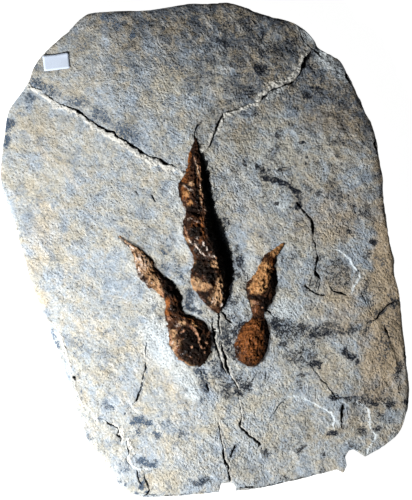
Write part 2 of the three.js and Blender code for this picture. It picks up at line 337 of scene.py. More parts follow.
# %% Glued joints
JOINTS = [
    Line([
        (-169.5, 161.5, 0.5, 2.4), (-164.5, 156, 0.4, 2.9), (-156, 151, 0.2, 3.3),
        (-146.5, 144.5, 0.2, 3.8), (-139, 139.5, 0.4, 3.8), (-129.5, 136.5, 1, 3.3),
        (-122.5, 134, 1.6, 2.9), (-116, 129, 1.7, 2.9), (-109.5, 124, 1.1, 3.3),
        (-101.5, 118.5, 1.1, 3.8), (-95, 114.5, 2.3, 3.3), (-89, 113, 1.7, 3.8),
        (-82.5, 108, 1, 4.3), (-76, 104, 2.1, 4.3), (-69, 99.5, 2.5, 3.3), (-61.5, 94.5, 2.7, 3.8),
        (-56, 91, 2.3, 4.3), (-48, 88, 1.3, 4.8), (-40.5, 84, 1.7, 4.3), (-35, 82, 1, 4.8),
        (-28, 79.5, 0.3, 4.8), (-20.5, 75.5, 0.2, 4.8),
    ], side=-1, cover=0.95),
    Line([
        (100, 189, 1.9, 1.9), (96, 181.5, 3.2, 2.9), (91.5, 171, 2.5, 3.3),
        (86.5, 164.5, 1.5, 3.8), (81, 159.5, 1.4, 4.3), (73, 156.5, 0.4, 4.8),
        (63.5, 153, 0.8, 4.8), (57, 147, 1, 4.3), (52, 141.5, 0.8, 2.9),
    ], side=-1, cover=0.8),
    Line([
        (48.5, 140.5, 0.6, 2.4), (41.5, 139.5, 0.3, 1.9), (34, 136.5, 1, 2.3),
        (26.5, 133, 0.8, 1.9), (19.5, 132, 0.3, 2.3), (16.5, 130, 1.5, 4.4), (13.5, 124, 2.1, 4.8),
        (11.5, 118.5, 1.8, 4.2), (10, 113.5, 1.1, 2.3),
    ], side=1, cover=0.95),
    Line([
        (10.5, 115.5, 0.9, 1.5), (7.5, 109, 0.8, 2.5), (5.5, 103, 0.9, 2.7), (2.5, 98.5, 0.4, 2.5),
        (-1.5, 94.5, 0.3, 2.1), (-4.5, 90, 0.2, 1.3),
    ], side=-1, cover=0.9),
]
print("glued joints:", len(JOINTS))

# %% [markdown]
# The other cracks are natural, and most hold no filler. Those below the print run from the toes
# down to the lower edge, and one curls round the claw of the middle toe.

# %% Cracks round the print
def cracks(*paths):
    """Lines whose points have a gap and may have a width of filler."""
    return [Line([(*point, 0)[:4] for point in path], side=1, cover=0.8) for path in paths]


CRACKS = cracks(
    [(7.5, -63, 0.8), (6.5, -68.5, 1.7), (8, -76.5, 2.9, 0.6), (9, -84, 2.9, 0.6),
     (10, -91.5, 2.7, 1), (13, -98.5, 1.7, 1), (15, -106, 1.5, 1.3), (18, -113.5, 1.1, 1.4),
     (21.5, -119.5, 0.6)],
    [(14, -50.5, 1.5), (13, -58, 1.3, 1), (13, -67, 1.1, 1.4), (13, -74.5, 0.8, 1), (15, -82, 0.6),
     (15, -90.5, 0.8), (17, -96.5, 1.9, 0.7), (18.5, -103, 2.3, 0.8), (20.5, -110.5, 1.7, 1),
     (23.5, -118.5, 1.1, 1), (27.5, -125, 0.8, 1), (31, -132.5, 1), (32, -139.5, 1.1),
     (33, -146, 0.6, 1), (34, -154.5, 0.9, 1.4), (35, -160.5, 1.7, 1.4), (33, -167, 1.9, 1.4),
     (37, -172, 1.1, 1), (42.5, -177.5, 1.1, 1), (48.5, -181.5, 1.1, 1), (52, -185, 1.5),
     (50, -190, 0.5)],
    [(16, -59, 0.8), (18.5, -64, 1.3), (24.5, -69.5, 1.1)],
    [(13, -162.5, 0.5), (14, -172, 0.9, 1), (15, -182.5, 0.9, 1), (17, -189, 1.3, 1),
     (17, -195.5, 1.6, 1.4), (18.5, -201.5, 1.4, 1.4), (22.5, -206, 1.6, 1),
     (22.5, -214, 1.9, 1.4), (23.5, -221.5, 1.5, 1)],
    [(28.5, -187, 0.9), (26.5, -193, 0.9), (24.5, -197.5, 0.6)],
    [(-6, -112.5, 0.8), (-3, -118.5, 1.2), (-2.5, -125, 1), (1.5, -129, 1.3), (3.5, -134.5, 0.8)],
    [(49.5, -117.5, 0.6), (45.5, -124, 0.7), (40.5, -130, 0.8)],
    [(58, -116.5, 0.4), (58, -124, 0.4)],
    [(61.5, -160.5, 0.5), (68.5, -151.5, 0.6), (75, -144, 0.5)],
    [(57, -56, 1.9), (61.5, -60, 2.5), (65.5, -64, 1.3)],
    [(-11, 94.5, 1.3), (-10, 103, 1), (-10, 111, 0.8), (-8, 117.5, 0.8), (-4, 122.5, 0.7),
     (-0.5, 124, 0.4)],
)
print("cracks round the print:", len(CRACKS))

# %% [markdown]
# On the left a long crack comes down from beside the left heel, and the lower corner has split into
# small pieces that were filled and glued.

# %% Cracks on the left
CRACKS += cracks(
    [(-115, -155.5, 0.6), (-110, -159.5, 1.2), (-106.5, -161.5, 0.6), (-100.5, -160.5, 0.6),
     (-96, -162.5, 1.3), (-93, -165, 1.3), (-87.5, -168, 0.6, 1), (-82.5, -172, 1.1, 1.9),
     (-83.5, -176.5, 1.3, 2.9), (-80.5, -179.5, 1, 2.9), (-81.5, -183.5, 0.8, 1.9)],
    [(-75, -182.5, 0.8, 2.9), (-74, -190, 1, 3.8), (-73, -194.5, 1.4, 3.8),
     (-75, -201.5, 0.8, 1.9), (-71, -206, 0.5), (-66.5, -203.5, 0.4)],
    [(-56, -84, 0.6), (-56.5, -97.5, 0.7), (-57, -110.5, 0.8), (-60.5, -126, 0.8),
     (-65, -141, 1.1), (-70, -149, 1), (-74, -153.5, 0.7), (-77.5, -157.5, 0.8)],
    [(-65.5, -210, 0.6), (-63.5, -218.5, 1), (-60.5, -224.5, 0.9), (-63.5, -229, 0.6)],
    [(-61.5, -206, 0.6), (-57.5, -218.5, 0.8), (-54, -229, 1.4), (-58.5, -236, 1.3)],
    [(-125.5, -122, 1.5), (-124.5, -125, 1)],
    [(-66.5, 56.5, 0.8), (-63.5, 50.5, 0.8)],
    [(-51, 51.5, 0.9), (-47, 45, 0.7)],
    [(-142.5, 126, 0.9), (-141, 123.5, 0.6)],
    [(-43.5, 141.5, 0.7), (-39.5, 142.5, 0.6)],
)
print("cracks so far:", len(CRACKS))

# %% [markdown]
# On the right the cracks end at flaked spots and at the rim. One of them is a short deep slot.

# %% Cracks on the right
CRACKS += cracks(
    [(87.5, 45, 1.5), (94, 37.5, 1), (101, 29.5, 1.4), (103, 24, 2.1), (103, 18, 1.3),
     (103, 11.5, 0.5), (104.5, 5, 0.8), (105.5, 0, 0.6), (107.5, -6.5, 1.3), (106.5, -12.5, 1.3),
     (105.5, -19, 1.1), (106.5, -24, 1.7), (110.5, -27.5, 0.8)],
    [(96, -34.5, 1.9), (101, -38, 1.9), (107.5, -42, 1.5), (113.5, -43, 0.8)],
    [(119, -34.5, 0.6), (123, -39, 1.1), (128.5, -41, 1.3), (134.5, -43, 0.7)],
    [(100, -28.5, 0.5), (100, -36, 0.5)],
    [(109.5, -30.5, 0.6), (108.5, -38, 0.6)],
    [(188, -47.5, 0.4), (182, -49.5, 0.6), (175.5, -51.5, 1.1), (169.5, -57, 1), (165, -63, 1.1),
     (159, -67.5, 0.7), (153.5, -70.5, 0.5)],
    [(156, -19, 0.2), (153.5, -31.5, 0.3), (149.5, -40, 0.5), (151.5, -45.5, 0.6),
     (155.5, -54.5, 0.4), (159, -63, 0.4)],
    [(187, -124, 0.4), (185, -131.5, 0.6), (188, -140.5, 0.5)],
    [(171.5, -72.5, 0.5), (174.5, -79, 0.9), (176.5, -86, 0.4)],
    [(101, -109, 0.4), (105.5, -116.5, 0.7), (110.5, -123, 0.5), (116, -129, 0.6),
     (121, -135.5, 0.9), (125.5, -142, 1.2)],
    [(131.5, -148, 1.3), (130.5, -156.5, 1.5), (130.5, -163, 1.7), (130.5, -171, 1.3)],
)
print("cracks so far:", len(CRACKS))

# %% [markdown]
# Thin layers have begun to lift along the rim. From above, each shows as a crack beside the edge.

# %% Cracks along the rim
CRACKS += cracks(
    [(190.5, -89.5, 0.8), (190.5, -97.5, 1.9), (191.5, -105, 1.7), (193.5, -110.5, 1.9),
     (194.5, -113.5, 1)],
    [(134.5, 173, 1.3), (134.5, 167, 1.6), (137, 162.5, 1.1), (142, 156, 1)],
    [(163, 107, 0.8), (161, 101.5, 1.6), (163, 95.5, 1.4), (166, 90, 1)],
    [(98, 196, 1.1), (102, 192, 2.1), (107.5, 186.5, 1.5), (111.5, 183.5, 0.6)],
    [(90.5, 209, 0.8), (91.5, 204.5, 0.9), (94, 198.5, 0.7)],
    [(-154, -66, 0.2, 1.4), (-144.5, -72.5, 0.3, 1.9), (-139, -81, 0.2, 1.9),
     (-136, -91.5, 0.3, 2.4), (-133, -101, 0.2, 1.9), (-130.5, -113.5, 0.4, 2.4),
     (-126.5, -126, 0.2, 1.9), (-122.5, -137.5, 0.4, 1.9), (-118, -148, 0.2, 1.4)],
    [(27.5, -227.5, 0.8), (42.5, -226.5, 0.9), (60, -225, 0.8), (76, -221.5, 0.8),
     (90.5, -218, 0.5), (107.5, -215, 0.6)],
    [(-53, -234, 0.6), (-38.5, -234.5, 0.8), (-24.5, -234, 0.5), (-10, -232.5, 0.7),
     (1.5, -230.5, 0.5)],
)
print("cracks in all:", len(CRACKS))

# %% [markdown]
# A ledge is a step down in the surface: the floor lies lower on the right of the path by the drop,
# comes down over the run, and climbs back over the reach. A short run gives a sharp step, with
# fresh pale stone on it and a painted highlight along it.

# %% Ledges
LEDGES = [
    Line([(121, -1), (124.5, 0), (129.5, -2), (135, -6.5), (141, -14), (145.5, -20),
          (147.5, -24.5), (145, -30.5), (140, -39), (137, -43)], drop=1.5, run=0.7, reach=26),
    Line([(63.5, -162.5), (67.5, -152.5), (74, -144), (81, -140.5), (88.5, -140.5), (97, -143),
          (104.5, -147), (112.5, -151.5), (118, -154.5), (122, -157.5), (123, -163), (123, -169),
          (124, -176.5)], drop=1.2, run=0.7, reach=30),
    Line([(139, -145), (145.5, -146), (151.5, -149), (155.5, -153.5), (157, -161.5), (157, -169),
          (160, -173), (163, -177.5), (161, -182.5), (157, -188), (155.5, -193),
          (152.5, -198.5)], drop=1.5, run=0.7, reach=22),
    Line([(90.5, -45.5), (92.5, -55.5), (90.5, -63), (85.5, -67.5), (77, -68.5),
          (67.5, -66)], drop=0.5, run=1.2, reach=16),
    Line([(135, 171), (131.5, 174), (124, 177), (116, 180.5), (107.5, 186.5), (103, 191),
          (98, 195), (93, 200.5), (90.5, 208.5), (87.5, 216),
          (85.5, 221.5)], drop=0.4, run=0.7, reach=34),
    Line([(188.5, -141), (185, -130), (185, -118.5), (182, -107), (178, -95.5), (173.5, -84),
          (166.5, -72.5), (162, -65)], drop=1.2, run=3.5, reach=13),
    Line([(183, -162.5), (180, -152.5), (177, -143), (174.5, -133.5),
          (170.5, -122)], drop=1.1, run=3.0, reach=10),
    Line([(34, -173.5), (29, -171), (23.5, -167), (18.5, -164),
          (16, -163)], drop=0.7, run=0.7, reach=8),
    Line([(161, -65), (155.5, -51.5), (151.5, -40), (153.5, -28.5), (159, -17),
          (163, -5.5)], drop=1.0, run=3.5, reach=11),
    Line([(-157, -68.5), (-151.5, -69.5), (-146.5, -74.5), (-144.5, -82), (-142.5, -92.5),
          (-141.5, -103), (-139, -114.5), (-134, -126), (-130.5, -135.5),
          (-125.5, -145)], drop=0.9, run=0.5, reach=9),
    Line([(-77.5, -188), (-74, -193), (-72, -201.5), (-68, -208), (-57.5, -209), (-51, -208),
          (-43.5, -206)], drop=0.6, run=0.5, reach=6),
]
print("ledges:", len(LEDGES))

# %% [markdown]
# A break is where the rim of the slab has split off at a slant. Its slope begins at the path and
# goes down to the right of it.

# %% Broken edges
BREAKS = [
    Line([(-156, -65), (-144.5, -71.5), (-139, -79), (-136, -90.5), (-133, -100), (-130.5, -112.5),
          (-126.5, -125), (-122.5, -136.5), (-118, -147), (-112, -156.5),
          (-105.5, -170)], slope=0.3),
    Line([(194.5, -151), (189.5, -143), (186, -133.5), (184, -122), (183, -109.5), (181, -98.5),
          (177, -88.5), (172.5, -78), (167.5, -65)], slope=0.12),
    Line([(160, 60), (158, 88), (152, 112), (148, 124)], slope=0.08),
    Line([(-80, -226), (-29, -232), (1, -229), (54, -224.5), (90, -216), (119, -208)], slope=0.5),
]
print("broken edges:", len(BREAKS))

# %% [markdown]
# ## Blotches
# Colour on old stone comes in blotches. Each is an ellipse: its place, its two half sizes, its
# strength and, where it isn't level, its turn in degrees. Together they make a smooth field, full
# at the core and gone a little beyond the ellipse, which the material breaks up with fine noise.

# %% Ellipses as a field
BLOTCH_CORE, BLOTCH_END = 0.3, 1.5


def ellipse_field(ellipses, x, y):
    """The strongest of the ellipses at a point: its strength at the middle, 0 outside."""
    best = 0
    for at_x, at_y, half_x, half_y, strength, *turned in ellipses:
        dx, dy = x - at_x, y - at_y
        if strength <= best or abs(dx) + abs(dy) > 2 * (half_x + half_y):
            continue
        turn = math.radians(sum(turned))
        c, s = math.cos(turn), math.sin(turn)
        out = math.hypot((c * dx - s * dy) / half_x, (s * dx + c * dy) / half_y)
        best = max(best, strength * smoothstep(BLOTCH_END, BLOTCH_CORE, out))
    return best


print("half way out, a blotch has", round(ellipse_field([(0, 0, 10, 10, 1)], 5, 0), 2))

# %% [markdown]
# Dark blue-grey minerals have seeped into the stone from its cracks and lie over it in blotches.
# They crowd between the toes and beside the cracks below them.

# %% Mottles round the print
MOTTLES = [
    (31, -129, 13.4, 13.4, 0.45), (10, 51.5, 2.9, 7.6, 0.55, -5), (18, 25, 3.8, 7.6, 0.6, -10),
    (1.5, 76.5, 1.9, 5.7, 0.4, -10), (-43.5, -65, 3.8, 2.9, 0.5), (-51, -53.5, 2.9, 2.9, 0.45),
    (-5, -116.5, 6.7, 5.7, 0.6), (0.5, -130, 4.8, 6.7, 0.75), (5.5, -106, 3.8, 1.9, 0.7),
    (16, -128, 7.6, 3.8, 0.4), (9, -116.5, 7.6, 4.8, 0.35), (-11, -56, 5.7, 3.8, 0.8),
    (-15.5, -52.5, 3.8, 2.9, 0.8), (-4, -60, 3.8, 2.4, 0.8), (-16.5, -41, 5.7, 4.3, 0.65),
    (-21.5, -24.5, 3.3, 4.8, 0.6), (-28, -22, 3.8, 2.9, 0.5), (-40.5, -17, 5.7, 7.6, 0.45, -30),
    (-39.5, -2, 2.9, 6.7, 0.7, -35), (-32, 17.5, 5.7, 3.8, 0.35), (-35.5, 40, 3.8, 1.9, 0.5),
    (-37.5, 59.5, 5.7, 6.7, 0.4), (-42.5, 76.5, 3.8, 5.7, 0.35, -30), (33, -11.5, 4.8, 6.7, 0.75),
    (30, -24, 3.8, 6.7, 0.45), (30, 0, 2.9, 4.8, 0.5), (21.5, -88, 5.7, 3.8, 0.75, -30),
    (26.5, -78, 3.3, 4.8, 0.7), (19.5, -94.5, 3.8, 2.9, 0.7), (31, -102, 2.9, 5.7, 0.5),
    (25.5, -65, 7.6, 3.8, 0.5), (38, -61, 3.8, 3.8, 0.6), (29, -57, 4.8, 2.9, 0.4),
    (9, -84, 3.3, 12.4, 1.1, -5), (18, -107, 3.8, 11.5, 0.8, -15),
    (33, -76.5, 8.6, 12.4, 0.75, 10), (19.5, -84, 5.7, 19.1, 0.6), (27.5, -95.5, 6.7, 9.5, 0.6),
    (16, -76.5, 4.8, 11.5, 0.6), (12, -116.5, 6.7, 11.5, 0.6, -20), (-0.5, -122, 6.7, 8.6, 0.6),
    (26.5, -47.5, 6.7, 6.7, 0.5), (-15.5, -47.5, 8.6, 9.5, 0.5, -20), (36, -24, 5.7, 11.5, 0.5),
    (-26, -11.5, 4.8, 8.6, 0.45, -25), (-34, 5, 5.7, 9.5, 0.35, -25),
    (-53, 97.5, 13.4, 4.8, 0.25, 25), (36, 83, 3.1, 2.1, 0.7, 30),
]
print("mottles round the print:", len(MOTTLES))

# %% [markdown]
# The left joint has a dark band all along its upper side, and dark spots at its outer end.

# %% Mottles beside the left joint
MOTTLES += [
    (-188.5, 120.5, 6.7, 5.7, 1), (-189.5, 107, 4.8, 5.7, 0.9), (-192.5, 99.5, 2.9, 3.8, 0.8),
    (-166.5, 145.5, 6.7, 3.8, 0.55), (-167.5, 137.5, 3.8, 5.7, 0.5), (-177, 132, 4.8, 5.7, 0.35),
    (-162, 159.5, 7.6, 5.7, 0.6, 35), (-148.5, 153, 15.3, 5.7, 0.45, 28),
    (-121.5, 142.5, 13.4, 5.7, 0.45, 28), (-98.5, 128, 15.3, 7.6, 0.5, 32),
    (-74, 111, 19.1, 10.5, 0.55, 35), (-162, 176, 3.8, 5.7, 0.4),
]
print("mottles so far:", len(MOTTLES))

# %% [markdown]
# In the upper part the mottles gather on both sides of the right joint and are sparse elsewhere.

# %% Mottles in the upper part
MOTTLES += [
    (68.5, 109, 4.8, 2.9, 0.7), (94, 102.5, 4.8, 3.3, 0.8), (90.5, 162.5, 8.6, 5.7, 0.35, 50),
    (98, 146, 5.7, 3.8, 0.8), (105.5, 153, 6.7, 3.8, 0.6, 20), (128.5, 138.5, 14.3, 3.3, 0.5, 32),
    (124, 126, 13.4, 2.9, 0.35, 35), (42.5, 151, 10.5, 8.6, 0.5), (-0.5, 160.5, 12.4, 8.6, 0.3),
    (52, 172, 5.7, 6.7, 0.9), (17, 198, 9.5, 4.8, 0.7, 25), (55, 189, 4.8, 6.7, 0.75),
    (54, 205.5, 3.8, 4.8, 0.7), (67.5, 193, 3.8, 7.6, 0.7, -20), (81, 198.5, 7.6, 6.7, 0.55),
    (73, 218, 8.6, 4.8, 0.45), (39, 212, 4.8, 7.6, 0.5, -30), (6.5, 179.5, 7.6, 5.7, 0.35),
    (90.5, 183.5, 4.8, 5.7, 0.3), (94, 177.5, 3.8, 8.6, 0.6, 20),
    (82.5, 158.5, 6.7, 3.8, 0.5, -20), (-120, 193, 9.5, 7.6, 0.35), (-97, 221.5, 4.8, 3.8, 0.6),
    (-86.5, 215, 5.7, 7.6, 0.5, -35), (-70, 204.5, 3.8, 2.9, 0.7), (-65.5, 170, 2.9, 3.8, 0.6),
    (-19.5, 225.5, 6.7, 4.8, 0.4), (-38.5, 225.5, 3.8, 4.8, 0.4), (-24.5, 174, 11.5, 4.8, 0.4, 30),
    (-5, 215, 8.6, 3.8, 0.4, 30), (-53, 210, 13.4, 7.6, 0.2, 30), (-14.5, 196, 11.5, 4.8, 0.3, 30),
    (6.5, 138.5, 9.5, 2.9, 0.4), (21.5, 140.5, 5.7, 4.8, 0.5), (9, 132, 8.6, 3.8, 0.4),
]
print("mottles so far:", len(MOTTLES))

# %% [markdown]
# A row of small dark specks runs down to the long crack on the right, and larger spots lie
# beside the crack itself.

# %% Mottles right of the middle toe
MOTTLES += [
    (61.5, -47.5, 5.7, 9.5, 0.5), (88.5, 50.5, 2.9, 2.9, 0.8), (89.5, 43, 3.3, 4.8, 1),
    (83.5, 41, 3.8, 2.9, 0.6), (128.5, 45, 2.9, 6.7, 0.45), (135, 28.5, 4.8, 2.9, 0.6),
    (136, 17.5, 3.8, 4.8, 0.5), (126.5, 20, 4.8, 3.8, 0.35), (86.5, 9.5, 3.8, 3.8, 0.4),
    (105.5, 54.5, 3.8, 3.8, 0.6), (98, 61, 4.8, 3.8, 0.35), (166.5, 57.5, 2.9, 9.5, 0.6, 8),
    (170.5, 36.5, 2.9, 6.7, 0.5, 8), (161, 7, 3.8, 2.9, 1), (82.5, -7.5, 3.8, 5.7, 0.4),
    (96, -34.5, 5.7, 4.8, 0.35), (105.5, -33.5, 5.7, 4.8, 0.4), (134.5, -31.5, 3.8, 3.8, 0.6),
    (144, -22, 2.9, 5.7, 0.5), (129.5, -4.5, 4.8, 2.9, 0.4), (153.5, -36, 3.8, 10.5, 0.5, 20),
    (179, -50.5, 5.7, 5.7, 0.65), (159, -47.5, 6.7, 13.4, 0.3), (124.5, -19, 14.3, 15.3, 0.36),
    (111.5, -7.5, 3.8, 2.9, 0.5, -40), (107.5, -17, 2.4, 5.7, 0.5, 10),
    (54, 74.5, 6.7, 4.8, 0.4, 30), (79, 61, 11.5, 4.8, 0.4, 20), (90.5, 51.5, 4.8, 8.6, 0.4),
    (50, 79.5, 3.6, 2.5, 1, 25), (56, 75.5, 3.1, 2.1, 1, 20), (61.5, 76.5, 2.9, 1.9, 0.8),
    (70.5, 75.5, 2.2, 2.1, 1), (57, 68.5, 4.4, 1.9, 1, 10), (64.5, 66.5, 4.2, 2.5, 1, 15),
    (72, 64.5, 4.8, 2.8, 1, 15), (77, 65, 2.7, 2.1, 1), (81, 60, 3.8, 2.9, 1, 30),
    (87.5, 57, 4.8, 2.7, 1, 15), (69, 44, 2.7, 1.9, 0.9), (73, 54.5, 2.1, 3.2, 0.6),
]
print("mottles so far:", len(MOTTLES))

# %% [markdown]
# From the right heel a wide dark band spreads to the right, made of many short streaks.

# %% Mottles beside the right heel
MOTTLES += [
    (100, -78, 40.1, 8.6, 0.5), (75, -76.5, 11.5, 11.5, 0.6), (133.5, -76.5, 21, 4.8, 0.5),
    (90.5, -102, 19.1, 11.5, 0.45), (171.5, -90.5, 7.6, 28.6, 0.35, 10),
    (93, -73.5, 7.6, 3.8, 0.75), (105.5, -80, 8.6, 2.4, 0.95), (115, -80, 3.8, 2.9, 0.9),
    (81, -73.5, 7.6, 4.8, 0.55), (66.5, -71.5, 5.7, 8.6, 0.85), (74, -89.5, 6.7, 2.9, 0.7),
    (86.5, -83, 7.6, 4.8, 0.5), (100, -89.5, 9.5, 4.8, 0.35), (119, -71.5, 9.5, 3.8, 0.45),
    (138, -77.5, 12.4, 1.9, 0.65), (153.5, -79, 2.9, 4.8, 0.6), (145.5, -67.5, 5.7, 2.9, 0.3),
    (135, -97.5, 3.8, 3.8, 1), (140, -102, 5.7, 3.3, 0.9), (145.5, -107, 3.8, 3.3, 0.8),
    (105.5, -109, 6.7, 4.3, 0.85), (95, -119.5, 8.6, 2.9, 0.6), (90.5, -95.5, 3.8, 2.9, 0.6),
    (112.5, -113.5, 1.5, 1.5, 1), (166.5, -61, 7.6, 3.8, 0.7, -35),
    (157, -69.5, 4.8, 3.8, 0.5, -35), (184, -116.5, 3.8, 11.5, 0.6, 5),
]
print("mottles so far:", len(MOTTLES))

# %% [markdown]
# The flaked spots of the lower right corner are stained along their rims.

# %% Mottles in the lower right corner
MOTTLES += [
    (155.5, -143, 28.6, 5.7, 0.5), (124, -141, 5.7, 3.8, 0.8), (133.5, -140.5, 10.5, 1.9, 0.75),
    (144, -140.5, 4.8, 1.9, 0.6), (176.5, -148, 5.7, 4.3, 0.8), (169.5, -136.5, 3.8, 7.6, 0.4),
    (159, -130, 10.5, 6.7, 0.35), (161, -146, 8.6, 2.9, 0.8, 20), (165, -170, 5.7, 2.4, 0.6),
    (150.5, -174.5, 4.8, 5.7, 0.6), (166, -158.5, 4.8, 6.7, 0.5), (178, -162.5, 4.8, 4.8, 0.4),
    (191.5, -145, 3.8, 2.9, 0.9), (122, -173.5, 4.8, 3.8, 0.9), (113.5, -195.5, 2.9, 4.8, 0.5),
    (111.5, -210, 3.8, 6.7, 0.4), (138, -186, 7.6, 5.7, 0.35),
]
print("mottles so far:", len(MOTTLES))

# %% [markdown]
# Near the lower edge the mottles are small and scattered, and the last ones sit round the glued
# corner and beside the left edge.

# %% Mottles along the lower and left edges
MOTTLES += [
    (87.5, -129, 4.8, 7.6, 0.35), (92.5, -189, 5.7, 2.4, 0.7, -30), (57, -193, 5.7, 5.7, 0.55),
    (67.5, -191, 2.9, 4.8, 0.5), (75, -218.5, 3.8, 3.8, 0.5), (48.5, -217.5, 2.9, 6.7, 0.4),
    (81, -183.5, 19.1, 13.4, 0.22), (39.5, -131.5, 7.6, 3.8, 0.7), (31, -136.5, 3.8, 3.8, 0.8),
    (42.5, -143, 2.4, 2.9, 0.6), (-3, -144, 2.9, 3.8, 0.6), (-62.5, -163, 7.6, 4.3, 0.85),
    (-54, -166, 4.8, 3.8, 0.85, 30), (-68, -166, 3.8, 2.9, 0.7), (-62.5, -174.5, 2.4, 4.8, 0.6),
    (-45.5, -176.5, 3.8, 2.9, 0.7), (-38.5, -181.5, 7.6, 2.9, 0.3, 30),
    (-59.5, -201.5, 5.7, 3.8, 0.75, 30), (-53, -207, 7.6, 2.9, 0.7),
    (-45.5, -203.5, 3.8, 2.9, 0.5), (-5, -221.5, 10.5, 3.8, 0.65), (-14.5, -220.5, 4.8, 2.4, 0.55),
    (-23.5, -174.5, 4.8, 5.7, 0.5), (-37.5, -165, 5.7, 4.8, 0.35), (-96, -146, 2.9, 1.9, 0.55),
    (-90, -150, 5.7, 2.4, 0.6, 20), (-144.5, -81, 2.9, 5.7, 0.6, -20),
    (-141.5, -90.5, 2.9, 3.8, 0.6), (-120.5, -121, 2.9, 2.9, 0.5), (-119, -135.5, 2.4, 2.4, 0.6),
    (-121.5, -91.5, 10.5, 6.7, 0.3), (-97, -80, 4.8, 4.8, 0.35), (-122.5, -85, 2.9, 1.9, 0.5),
    (-100.5, -95.5, 21, 9.5, 0.22), (-77.5, -223.5, 1.9, 1.9, 1), (-83.5, -219.5, 3.8, 3.8, 0.5),
    (-61.5, -223.5, 2.9, 4.8, 0.9), (-55, -230, 1.9, 1.9, 1), (-65.5, -232, 1.9, 1.9, 0.8),
    (-75, -210, 8.6, 3.8, 0.4), (-79.5, -178.5, 2.9, 5.7, 0.5), (-108.5, -178.5, 3.8, 3.8, 0.35),
    (21.5, -133.5, 5.7, 9.5, 0.6, -20),
]
print("mottles in all:", len(MOTTLES))

# %% [markdown]
# Fresh stone is paler and cooler than the old surface. It shows where the stone was scraped clean
# beside the toes, and where flakes have come off.

# %% Fresh stone
FRESH = [
    (47.5, 86, 21, 9.5, 0.35, -20), (81, 95.5, 13.4, 9.5, 0.3, -20),
    (-43.5, -90.5, 16.2, 28.6, 0.85, -20), (-20.5, -124, 11.5, 22.9, 0.75, -38),
    (-28, 52.5, 6.7, 28.6, 0.5, -5), (-25, 9.5, 4.8, 17.2, 0.6, -5),
    (-11, -137.5, 6.7, 8.6, 0.95, -35), (78, -55.5, 11.5, 10.5, 1), (75, 44, 7.6, 5.7, 0.85),
    (18.5, 124, 3.8, 7.6, 0.7), (-51, -51.5, 10.5, 15.3, 0.45, 20), (42.5, -15, 7.6, 15.3, 0.45),
    (25.5, -71.5, 6.7, 7.6, 0.35), (63.5, 150, 13.4, 7.6, 0.6, -30),
    (115, 181.5, 15.3, 6.7, 1, 35), (101, 204.5, 12.4, 5.7, 1, 50),
    (130.5, 168, 11.5, 4.8, 0.9, 48), (90.5, 155, 11.5, 4.8, 0.25, -20),
    (82.5, -11.5, 9.5, 9.5, 0.15), (-40.5, 148, 11.5, 7.6, 0.3), (-139, 135.5, 15.3, 5.7, 0.4, 28),
    (-171.5, 155, 3.8, 5.7, 0.6), (-74, -189, 3.8, 9.5, 0.5),
    (-129.5, -133.5, 4.8, 13.4, 0.6, -20), (-137, -86, 2.9, 11.5, 0.6, -20),
    (126.5, -166, 2.4, 6.7, 0.8), (10, -65, 4.8, 5.7, 0.4), (-9, -22, 5.7, 5.7, 0.2),
    (33, 67, 13.4, 28.6, 0.3, -10), (52, 28.5, 13.4, 19.1, 0.2),
    (-34, -114.5, 13.4, 11.5, 0.35, -30), (67.5, -65, 2.9, 2.9, 0.9),
    (-43.5, -162.5, 28.6, 19.1, 0.1),
]
print("fresh spots:", len(FRESH))

# %% [markdown]
# Iron has tanned the stone in wide soft clouds, most of all along the right and the left edge.

# %% Tan stone
TANNED = [
    (183, 95.5, 17.2, 47.8, 1), (183, 9.5, 22.9, 57.3, 0.9, 8), (178, -81, 26.7, 57.3, 0.8, 8),
    (117, 33.5, 34.4, 26.7, 0.45), (-162.5, 5, 21, 43, 1.1, 20), (-146.5, 35.5, 21, 13.4, 0.9),
    (-134, -26.5, 14.3, 14.3, 0.8), (-182, 81.5, 13.4, 13.4, 1), (119, 126, 28.6, 17.2, 0.45),
    (50, 0, 11.5, 13.4, 0.4), (133.5, -47.5, 23.9, 38.2, 0.35), (-156, -47.5, 9.5, 17.2, 0.8),
    (-127.5, -76.5, 19.1, 13.4, 0.4), (-120, -181.5, 13.4, 9.5, 0.35),
    (-43.5, 191, 28.6, 19.1, 0.3), (38, 181.5, 21, 17.2, 0.4), (159, -133.5, 15.3, 19.1, 0.4),
    (-53, -186, 19.1, 17.2, 0.3), (26.5, -78, 7.6, 13.4, 0.7), (12, -97.5, 4.8, 9.5, 0.5),
]
print("tan spots:", len(TANNED))

# %% [markdown]
# A painted shadow lies on the slab beside the steep side of the middle toe, where the toe throws
# its shadow, and trails off unevenly.

# %% Painted shadow beside the middle toe
PAINTED_TOE_SHADOW = [
    (-2.5, 80.5, 2.4, 11.5, 0.9, -14), (1.5, 63, 2.9, 13.4, 1, -8), (4.5, 42, 3.3, 15.3, 1, -8),
    (9, 21, 4.3, 15.3, 1, -12), (15, 2, 5.7, 17.2, 1, -14), (19.5, -17, 6.7, 19.1, 1, -4),
    (20.5, -36, 5.7, 15.3, 1, 8), (18.5, -49.5, 3.3, 7.6, 0.8, 10),
]
print("black crusts:", len(PAINTED_TOE_SHADOW))

# %% [markdown]
# Where the slab was chipped, at the ends of the joints, at the corners and left of the print, the
# relief adds stronger noise.

